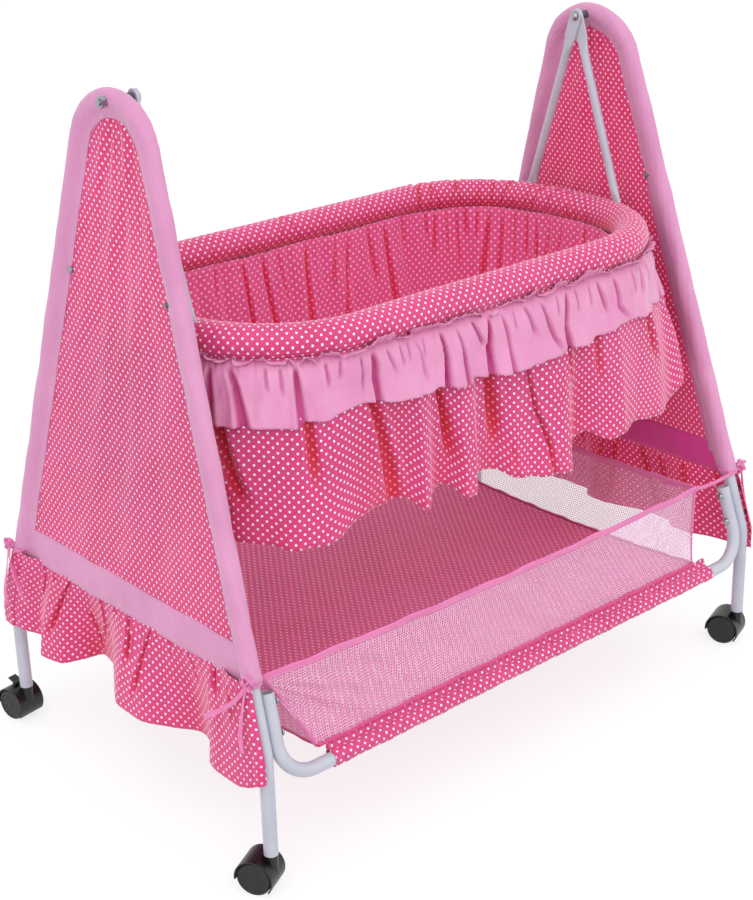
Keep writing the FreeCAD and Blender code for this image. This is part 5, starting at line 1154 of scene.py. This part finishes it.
def skirt():
    """The long skirt; gives back its hem as a line round the rim."""
    hem_at = through(SKIRT_HEM, RIM_LENGTH)
    along = rim_stations(SKIRT_STATIONS)
    hem = [hem_at(s) for s in along]
    rows, point_shades = [], []
    for v in shares(SKIRT_STEPS):
        row, row_shades = [], []
        crossing = grooves_at(SKIRT_GROOVES, SKIRT_TOP - SKIRT_DROP * v)
        for s, (out_low, z_low) in zip(along, hem):
            z = between(SKIRT_TOP, z_low, v)
            z += 1.0 * rim_wave(s, [(31, 0.7, 0.1), (47, 0.5, 0.6)]) * v ** 3
            small = rim_wave(s, [(113, 0.5, 0.2), (151, 0.4, 0.65)]) * (1 - v) ** 2.0
            drape = rim_wave(s, [(27, 0.9, 0.3), (43, 0.6, 0.8)], 0.01 * v) * v
            groove = (1.35 * sunk(crossing, s, RIM_LENGTH) * min(1.0, 0.25 + v * 2.2)
                      * (1 - 0.7 * eased(v * 3.6 - 2.6)))
            off = max(skirt_out(out_low, z, z_low) + small + drape - groove, 8.0)
            # Painted shade: darker in the grooves, and where the hem tucks in.
            row_shades.append(groove / FOLD_SHADE_DEEP + max(0.0, 27.0 - out_low) / 20.0 * v * 0.8)
            curl = 1.2 * bell(1 - v, 0.03) * rim_wave(s, [(53, 1.0, 0.2), (71, 0.7, 0.5)])
            row.append(by_rim(s, off + curl, z))
        rows.append(row)
        point_shades.append(row_shades)
    piece = cloth_piece("skirt_cloth", rows, dotted_poplin, closed=True, thickness=0.7, flip=True,
                        point_shades=point_shades)
    settle(piece, "cradle", ["skirt"])
    cloth_size(rows, True)
    return hem_at


def rim_frill(skirt_hem):
    """The satin frill: its heading stands or flops above the stitches, its body hangs below."""
    along = rim_stations(FRILL_STATIONS)
    heading_at, hem_at = through(HEADING, RIM_LENGTH), through(FRILL_HEM, RIM_LENGTH)
    heads, hem, under = ([line(s) for s in along] for line in (heading_at, hem_at, skirt_hem))
    gathers, crumple, slide = ([rim_wave(s, parts) for s in along] for parts in (
        [(249, 1.0, 0.2), (331, 0.8, 0.6), (187, 0.7, 0.1)],
        [(83, 1.0, 0.35), (137, 0.9, 0.8), (59, 0.7, 0.15)], [(71, 1.0, 0.6), (119, 0.8, 0.25)]))
    rows, point_shades = [], []
    for up in reversed(shares(HEADING_ROWS)[1:]):
        row = []
        # Painted shade: the heading is painted darker towards its stitches.
        point_shades.append([0.75 * (1 - up) ** 1.5 - 0.12 * c for c in crumple])
        for j, s in enumerate(along):
            stand, tall = heads[j]
            angle = math.radians(8 + 62 * stand) - 0.35 * up
            z = SEAM_Z + math.sin(angle) * tall * up + 1.8 * crumple[j] * up
            off = (HEADING_OFF + math.cos(angle) * tall * up * 0.8 + 2.9 * crumple[j] * up ** 0.8
                   + 0.9 * gathers[j])
            row.append(by_rim(s + 2.6 * slide[j] * up, max(off, round_roll(z, OFF_ROLL)), z))
        rows.append(row)
    for v in shares(FRILL_STEPS):
        row, row_shades = [], []
        crossing = grooves_at(FRILL_GROOVES, SEAM_Z - FRILL_DROP * v)
        puff = 4.5 * math.sin(math.pi * min(1.0, v * 1.6)) * (1 - v)
        for j, s in enumerate(along):
            out_low, z_low = hem[j]
            z = between(SEAM_Z, z_low, v)
            off = FRILL_OFF + (out_low - FRILL_OFF) * v ** 0.75 + puff
            off += 0.75 * gathers[j] * math.exp(-v * 6.0)
            off += 1.3 * rim_wave(s, [(67, 0.8, 0.3), (97, 0.5, 0.9)], 0.006 * v) * eased(v * 3)
            groove = sunk(crossing, s, RIM_LENGTH) * eased(v * 6 + 0.15)
            # Painted shade: darker in the grooves, and just under the seam.
            row_shades.append(groove / FRILL_SHADE_DEEP + 0.7 * math.exp(-v * 16))
            row.append(by_rim(s, max(off - groove, skirt_out(under[j][0], z, under[j][1]) + OFF_SKIRT), z))
        rows.append(row)
        point_shades.append(row_shades)
    piece = cloth_piece("rim_frill_satin", rows, pink_satin, closed=True, thickness=0.5, flip=True,
                        point_shades=point_shades)
    settle(piece, "cradle", ["rim_frill"])
    cloth_size(rows, True)


rim_frill(skirt())


# The basket: a cloth floor hung between the rails, whose edges go round them as sleeves.

FLOOR_LEFT, FLOOR_RIGHT, SEAM_Y, FLOOR_Z, SAG = -390.0, 350.0, 295.35, 176.5, 12.0
FLOOR_COLUMNS, FLOOR_ROWS = 120, 70
SLEEVE_HALF, SLEEVE_R, SLEEVE_STATIONS = 376.0, 10.7, 200


def floor_cloth():
    """The floor between the seams: it sags across, and rumples a little along its edges."""
    rows = []
    for t in spans(FLOOR_ROWS):
        sag = SAG * (1 - t * t)
        edge = eased((abs(t) - 0.75) / 0.25)
        row = []
        for u in shares(FLOOR_COLUMNS):
            rumple = wave(u + 0.1 * t, [(13, 0.9, 0.2), (21, 0.6, 0.7)]) * edge * (1 - edge) * 4
            rumple += wave(u, [(3, 0.8, 0.1)]) * (1 - t * t)
            row.append(place(between(FLOOR_LEFT, FLOOR_RIGHT, u), SEAM_Y * t, FLOOR_Z - sag + rumple))
        rows.append(row)
    # The floor's print stands closer along the cradle and wider across it.
    # Painted light: the basket floor uses the copy of the dotted poplin painted paler.
    piece = cloth_piece("basket_floor_cloth", rows, dotted_poplin_painted_lighter, thickness=0.8, stretch=(1.18, 0.83),
                        flip=True)
    settle(piece, "frame", ["base_sheet"])


floor_cloth()


def rail_sleeve(end_name, end):
    """The floor's edge taken round a rail and sewn back on itself along the seam."""
    seam = (-(RAIL_Y - SEAM_Y), FLOOR_Z - RAIL_Z)
    section = [(seam[0], seam[1] + 1.8), (seam[0] - 0.7, seam[1] - 5)] + [
        (SLEEVE_R * math.cos(math.radians(a)), SLEEVE_R * math.sin(math.radians(a)))
        for a in range(185, 185 + 295, 15)] + [(seam[0] + 2.0, seam[1] - 4)]
    rows = []
    for away, up in section:
        row = []
        for u in shares(SLEEVE_STATIONS):
            loose = 1 + 0.035 * wave(u, [(9, 1.0, 0.2 + end * 0.1), (23, 0.8, 0.5), (41, 0.5, 0.9)])
            row.append(place(-SLEEVE_HALF + 2 * SLEEVE_HALF * u, end * (RAIL_Y + away * loose),
                             RAIL_Z + up * loose))
        rows.append(row)
    piece = cloth_piece(end_name + "_rail_sleeve_cloth", rows, dotted_poplin, loop_down=True, thickness=0.8,
                        flip=end > 0)
    settle(piece, "frame")


each(ENDS, rail_sleeve)


# Net walls, knitted in small six-sided meshes, from the floor's seam up to the taped mouth.

MOUTH_LEFT, MOUTH_RIGHT, MOUTH_Y, NET_FOOT, NET_TOP = -449.0, 388.0, 265.8, 177.6, 281.0
# A mesh's width, and how much of its radius the cord between two meshes takes, in the
# walls' sizes as knitted
MESH_MM, CORD = 3.9, 0.27
WALL_LONG, WALL_SHORT, WALL_TALL = 780.0, 560.0, 108.0
# The net is sewn in a little inside the floor's seam and under the mouth's tape.
NET_IN, NET_UNDER = 1.2, 3


def net_mesh(name, wide, way):
    """A wall of six-sided meshes: each is a ring of six flat cords round an open middle."""
    points, index, faces = [], {}, []

    def spot(a, b):
        key = (round(a * 40), round(b * 40))
        if key not in index:
            index[key] = len(points)
            points.append((a, b))
        return index[key]

    step_y = MESH_MM * 0.8660
    radius = MESH_MM / math.sqrt(3)
    inner = radius * (1 - CORD)
    ways = [(math.sin(TURN * k / 6), math.cos(TURN * k / 6)) for k in range(6)]
    for r in range(int(WALL_TALL / step_y) + 1):
        for c in range(int(wide / MESH_MM) + 1):
            cx, cy = (c + 0.5 * (r % 2)) * MESH_MM, r * step_y
            if cx > wide or cy > WALL_TALL:
                continue
            outer = [spot(cx + radius * a, cy + radius * b) for a, b in ways]
            start = len(points)
            points.extend((cx + inner * a, cy + inner * b) for a, b in ways)
            faces.extend([outer[k], outer[(k + 1) % 6], start + (k + 1) % 6, start + k] for k in range(6))
    shares = [(min(max(a, 0.0), wide) / wide, min(max(b, 0.0), WALL_TALL) / WALL_TALL) for a, b in points]
    piece = mesh_piece(name + "_net_wall", [way(u, w) for u, w in shares], faces, knitted_net)
    # The four walls stand for one net; the front one hides its part.
    settle(piece, "frame", ["net_walls"] if name == "front" else ())


def mouth_z(x):
    """The tape's height along a side: tied up at the left, and hanging slack to the right."""
    share = (x - MOUTH_LEFT) / (MOUTH_RIGHT - MOUTH_LEFT)
    return NET_TOP + 6.5 * (1 - share) ** 3 - 5.0 * math.sin(math.pi * share) - 1.0


def dip(u):
    """How far the tape across an end hangs down between its ties."""
    return 6 * math.sin(math.pi * u)


def net_long(end_name, end):
    def way(u, w):
        high_x = between(MOUTH_LEFT, MOUTH_RIGHT, u)
        x = between(between(FLOOR_LEFT, FLOOR_RIGHT, u), high_x, w)
        y = (SEAM_Y - NET_IN) + (MOUTH_Y - SEAM_Y + NET_IN) * w
        z = NET_FOOT + (mouth_z(high_x) - NET_UNDER - NET_FOOT) * w
        ripple = wave(u + 0.08 * w, [(7, 2.2, 0.2), (13, 1.4, 0.6), (23, 0.7, 0.1)])
        slack = math.sin(math.pi * w) * (ripple - 3.0)
        # Pulled from its tied corner, it creases towards the far foot.
        fan = math.atan2(1.0 - w, u * 7 + 0.05)
        slack += 3.4 * math.sin(fan * 19) * bell(u - 0.12, 0.2) * math.sin(math.pi * w)
        return place(x, end * (y + slack), z)

    net_mesh(end_name, WALL_LONG, way)


def side_x(side):
    """Where the floor and the mouth end at one end of the basket."""
    return (FLOOR_LEFT, MOUTH_LEFT) if side < 0 else (FLOOR_RIGHT, MOUTH_RIGHT)


def net_end(side_name, side):
    low_x, high_x = side_x(side)

    def way(u, w):
        y = ((SEAM_Y - NET_IN) * (1 - w) + MOUTH_Y * w) * (2 * u - 1)
        floor = NET_FOOT - SAG * (1 - (2 * u - 1) ** 2)
        z = floor + (mouth_z(high_x) - dip(u) - NET_UNDER - floor) * w
        slack = math.sin(math.pi * w) * (wave(u, [(5, 2.0, 0.3), (11, 1.2, 0.7)]) - 2.0)
        return place(between(low_x, high_x, w) + side * slack, y, z)

    net_mesh(side_name, WALL_SHORT, way)


each(ENDS, net_long)
each(SIDES, net_end)


# Tapes. The basket's mouth, corners and foot are bound, and it is tied up at its corners.

UP = Vector((0, 0, 1))
# Each tape's width and thickness once folded, and the steps that it is drawn in
MOUTH_TAPE, MOUTH_STEPS = (10.0, 2.0), 120
CORNER_TAPE, CORNER_STEPS, CORNER_SAG = (7.0, 1.6), 30, 0.002
PIPING, PIPING_STEPS, PIPING_OUT, PIPING_UP = (4.6, 3.4), 100, 1.6, 1.4
TIE_TAPE, KNOT_TAPE, TAIL_TAPE = (6.5, 1.5), (6.2, 2.2), (7.0, 1.2)


def tape(name, points, size, ups, material=woven_tape):
    """A folded tape along a line: a flattened section carried on each point's own up way."""
    width, thick = size
    section = []
    for k in range(12):
        c, s = math.cos(TURN * k / 12), math.sin(TURN * k / 12)
        section.append((math.copysign(abs(c) ** 0.6, c) * thick / 2,
                        math.copysign(abs(s) ** 0.8, s) * width / 2))
    rows = []
    for a, b in section:
        row = []
        for i, p in enumerate(points):
            ahead = (points[min(i + 1, len(points) - 1)] - points[max(i - 1, 0)]).normalized()
            up = (ups[i] - ahead * ups[i].dot(ahead)).normalized()
            row.append(p + (ahead.cross(up) * a + up * b) * MM)
        rows.append(row)
    return close_ends(cloth_piece(name, rows, material, loop_down=True))


def around_basket(left, right):
    """The basket's four sides in turn: their names and the corners that they run between."""
    corners = [(left, -1), (right, -1), (right, 1), (left, 1)]
    return zip(("front", "right", "rear", "left"), corners, corners[1:] + corners[:1])


def mouth_binding():
    for name, (xa, ya), (xb, yb) in around_basket(MOUTH_LEFT, MOUTH_RIGHT):
        across = xa == xb
        points = []
        for u in shares(MOUTH_STEPS):
            x, y = between(xa, xb, u), between(ya, yb, u) * MOUTH_Y
            z = mouth_z(x) - (dip(u) if across else 0)
            swing = wave(u, [(7, 0.7, 0.2), (12, 0.5, 0.6)])
            points.append(place(x + (swing if across else 0), y + (0 if across else swing),
                                z + swing * 0.5))
        piece = tape(name + "_mouth_tape", points, MOUTH_TAPE, [UP] * len(points))
        settle(piece, "frame", ["net_binding"] if name == "front" else ())


def corner_binding(side_name, side):
    for end_name, end in ENDS.items():
        low_x, high_x = side_x(side)
        low = place(low_x, end * (SEAM_Y - 1), NET_FOOT)
        high = place(high_x, end * MOUTH_Y, mouth_z(high_x))
        points = [low.lerp(high, u) + Vector((side, end, 0)) * (-CORNER_SAG * math.sin(math.pi * u))
                  for u in shares(CORNER_STEPS)]
        piece = tape("%s_%s_corner_tape" % (end_name, side_name), points, CORNER_TAPE,
                     [Vector((side * 0.7, -end * 0.7, 0.0))] * len(points))
        settle(piece, "frame")


def foot_piping():
    """A narrow piping sewn in where the net meets the floor, all round."""
    for name, (xa, ya), (xb, yb) in around_basket(FLOOR_LEFT, FLOOR_RIGHT):
        points = []
        for u in shares(PIPING_STEPS):
            y = between(ya, yb, u) * (SEAM_Y + PIPING_OUT)
            sag = SAG * (1 - (y / (SEAM_Y + PIPING_OUT)) ** 2) if xa == xb else 0.0
            sway = wave(u, [(9, 0.5, 0.1), (17, 0.4, 0.6)])
            points.append(place(between(xa, xb, u), y, NET_FOOT + PIPING_UP - sag + sway))
        piece = tape(name + "_foot_piping", points, PIPING, [UP] * len(points), deep_binding)
        settle(piece, "frame")


mouth_binding()
each(SIDES, corner_binding)
foot_piping()


def tie_piece(name, points, size, ups, replaced=()):
    """A length of tape of the given width and thickness."""
    world = [place(*p) for p in points]
    piece = tape(name, world, size, ups)
    settle(piece, "frame", replaced)


# A tie goes round the cover's foot at TIE_Z, TIE_R from the leg's middle.
TIE_Z, TIE_R, TIE_TURNS, LEAD_STEPS, RING_STEPS, KNOT_STEPS, TAIL_STEPS = 289.0, 13.2, 1.16, 12, 33, 40, 21
# The knot beside the leg, and each loose tail's bend and tip, out, along and up from the leg
KNOT = (12.5, 13.0, 7.0)
TAILS = [((26.0, 6.0, -22.0), (31.0, -56.0, -60.0)), ((27.0, 10.0, -30.0), (28.0, 14.0, -84.0))]


def corner_ties(side_name, side):
    """Tapes from the basket's corners, tied round the covers' feet, with their loose ends."""
    for end_name, end in ENDS.items():
        corner = end_name + "_" + side_name

        def outward(x, y, z):
            return Vector((side * x, end * y, z))

        leg = outward(frame_x(TIE_Z), leg_y(TIE_Z), TIE_Z)
        mouth_x = side_x(side)[1]
        slant = outward(-SLOPE_X, -SLOPE_Y, 1).normalized()
        start = Vector((mouth_x, end * MOUTH_Y, mouth_z(mouth_x)))
        points, ups = [], [UP] * LEAD_STEPS + [slant] * (RING_STEPS + 1)
        for u in shares(LEAD_STEPS)[:-1]:
            p = start.lerp(leg + outward(-TIE_R * 0.2, TIE_R, 0), u)
            p.z -= 3 * math.sin(math.pi * u)
            points.append(p)
        for i in range(RING_STEPS + 1):
            angle = TURN * TIE_TURNS * i / RING_STEPS
            ring = outward(math.sin(angle), math.cos(angle), 0)
            points.append(leg + ring * TIE_R + slant * (i / RING_STEPS * 5 - 1))
        tie_piece(corner + "_tie", points, TIE_TAPE, ups,
                  replaced=["corner_ties"] if corner == "front_left" else ())
        knot = leg + outward(*KNOT)
        turns = [TURN * i / KNOT_STEPS * 1.5 for i in range(KNOT_STEPS + 1)]
        points = [knot + outward(3.4 * math.cos(t) + 3.0, 5.6 * math.sin(t * 1.5), 7.4 * math.sin(t))
                  for t in turns]
        tie_piece(corner + "_knot", points, KNOT_TAPE, [outward(1, 0.4, 0.2)] * len(points))
        for k, ways in enumerate(TAILS):
            bend, tip = (outward(*way) + leg for way in ways)
            points, ups = [], []
            for u in shares(TAIL_STEPS):
                p = knot * (1 - u) ** 2 + bend * 2 * u * (1 - u) + tip * u * u
                p.x += side * (2.5 + 1.6 * math.sin(9 * u + k) * u)
                points.append(p)
                ups.append(Vector((0.5 * math.sin(3 * u + k), 1.0, 0.6 * (k == 0) + 0.2 * math.sin(4 * u))))
            tie_piece("%s_tie_tail_%d" % (corner, k + 1), points, TAIL_TAPE, ups)


each(SIDES, corner_ties)


# Floor, light and camera. The camera stands where the photograph's did.

# Seen by the camera, part of the paper's white is its own, so only a pale shadow stays.
FLOOR_OWN, FLOOR_GLOW = 0.68, 1.12
# How bright the white room is as a light; looked at, it is full white.
ROOM_LIGHT = 0.86

paper = Finish("matt_white_paper_floor", Roughness=0.9, Base_Color="#ececee", Specular_IOR_Level=0.1)
glow = paper.add("Emission", {"Color": (1, 1, 1, 1), "Strength": FLOOR_GLOW})
paper_share = paper.maths("MULTIPLY", paper.seen_rays(), FLOOR_OWN)
paper_mix = paper.add("MixShader", {0: paper_share, 1: paper.shader.outputs[0], 2: glow[0]})
paper.feed(paper.tree.nodes["Material Output"], {"Surface": paper_mix[0]})
bpy.ops.object.select_all(action="DESELECT")
bpy.ops.mesh.primitive_plane_add(size=60, location=(0, 0, -0.0005))
floor = bpy.context.object
floor.name = "paper_floor"
floor.data.materials.append(paper.material)
bpy.ops.object.transform_apply(location=True, rotation=True, scale=True)

world = bpy.data.worlds.new("white_studio")
bpy.context.scene.world = world
world.use_nodes = True
world.node_tree.nodes.clear()
room = Graph(world.node_tree)
strength = room.remap(room.seen_rays(), 0.0, 1.0, ROOM_LIGHT, 1.0)
shell = room.add("Background", {"Color": (1, 1, 1, 1), "Strength": strength})
room.add("OutputWorld", {"Surface": shell[0]})


def stand(name, data):
    thing = bpy.data.objects.new(name, data)
    bpy.context.scene.collection.objects.link(thing)
    return thing


# Large soft lamps stand to the left and to the right, both rather low, with a fill in front
# and one overhead: each one's power, its spread in degrees and the way to it.
for name, power, spread, towards in (("left_softbox", 0.34, 34, (-0.86, -0.26, 0.44)),
                                     ("right_softbox", 0.38, 44, (0.44, -0.84, 0.30)),
                                     ("front_fill", 0.36, 50, (-0.40, -0.72, 0.57)),
                                     ("overhead_softbox", 0.62, 50, (-0.15, -0.30, 0.94))):
    lamp = bpy.data.lights.new(name, "SUN")
    lamp.energy = power
    lamp.angle = math.radians(spread)
    stand(name, lamp).rotation_euler = Vector(towards).to_track_quat("Z", "Y").to_euler()

# The photograph's own lens and place: its focal length is in pixels of its 900-pixel height.
FOCAL_PIXELS, PHOTO_PIXELS, SENSOR = 1776.93, 900, 36
AZIMUTH, ELEVATION, ROLL = math.radians(-41.051), math.radians(22.519), math.radians(-1.560)
lens = bpy.data.cameras.new("photograph")
lens.lens = FOCAL_PIXELS / PHOTO_PIXELS * SENSOR
lens.sensor_width = SENSOR
lens.clip_end = 100
camera = stand("photograph", lens)
back = Vector((math.sin(AZIMUTH) * math.cos(ELEVATION), -math.cos(AZIMUTH) * math.cos(ELEVATION),
               math.sin(ELEVATION)))
right = (-back).cross(UP).normalized()
up = back.cross(right)
level = right * math.cos(ROLL) + up * math.sin(ROLL)
upward = up * math.cos(ROLL) - right * math.sin(ROLL)
camera.matrix_world = Matrix((level, upward, back)).transposed().to_4x4()
camera.location = place(-1594.2, -1806.4, 1380.4)
bpy.context.scene.camera = camera
bpy.context.scene.view_settings.view_transform = "Standard"
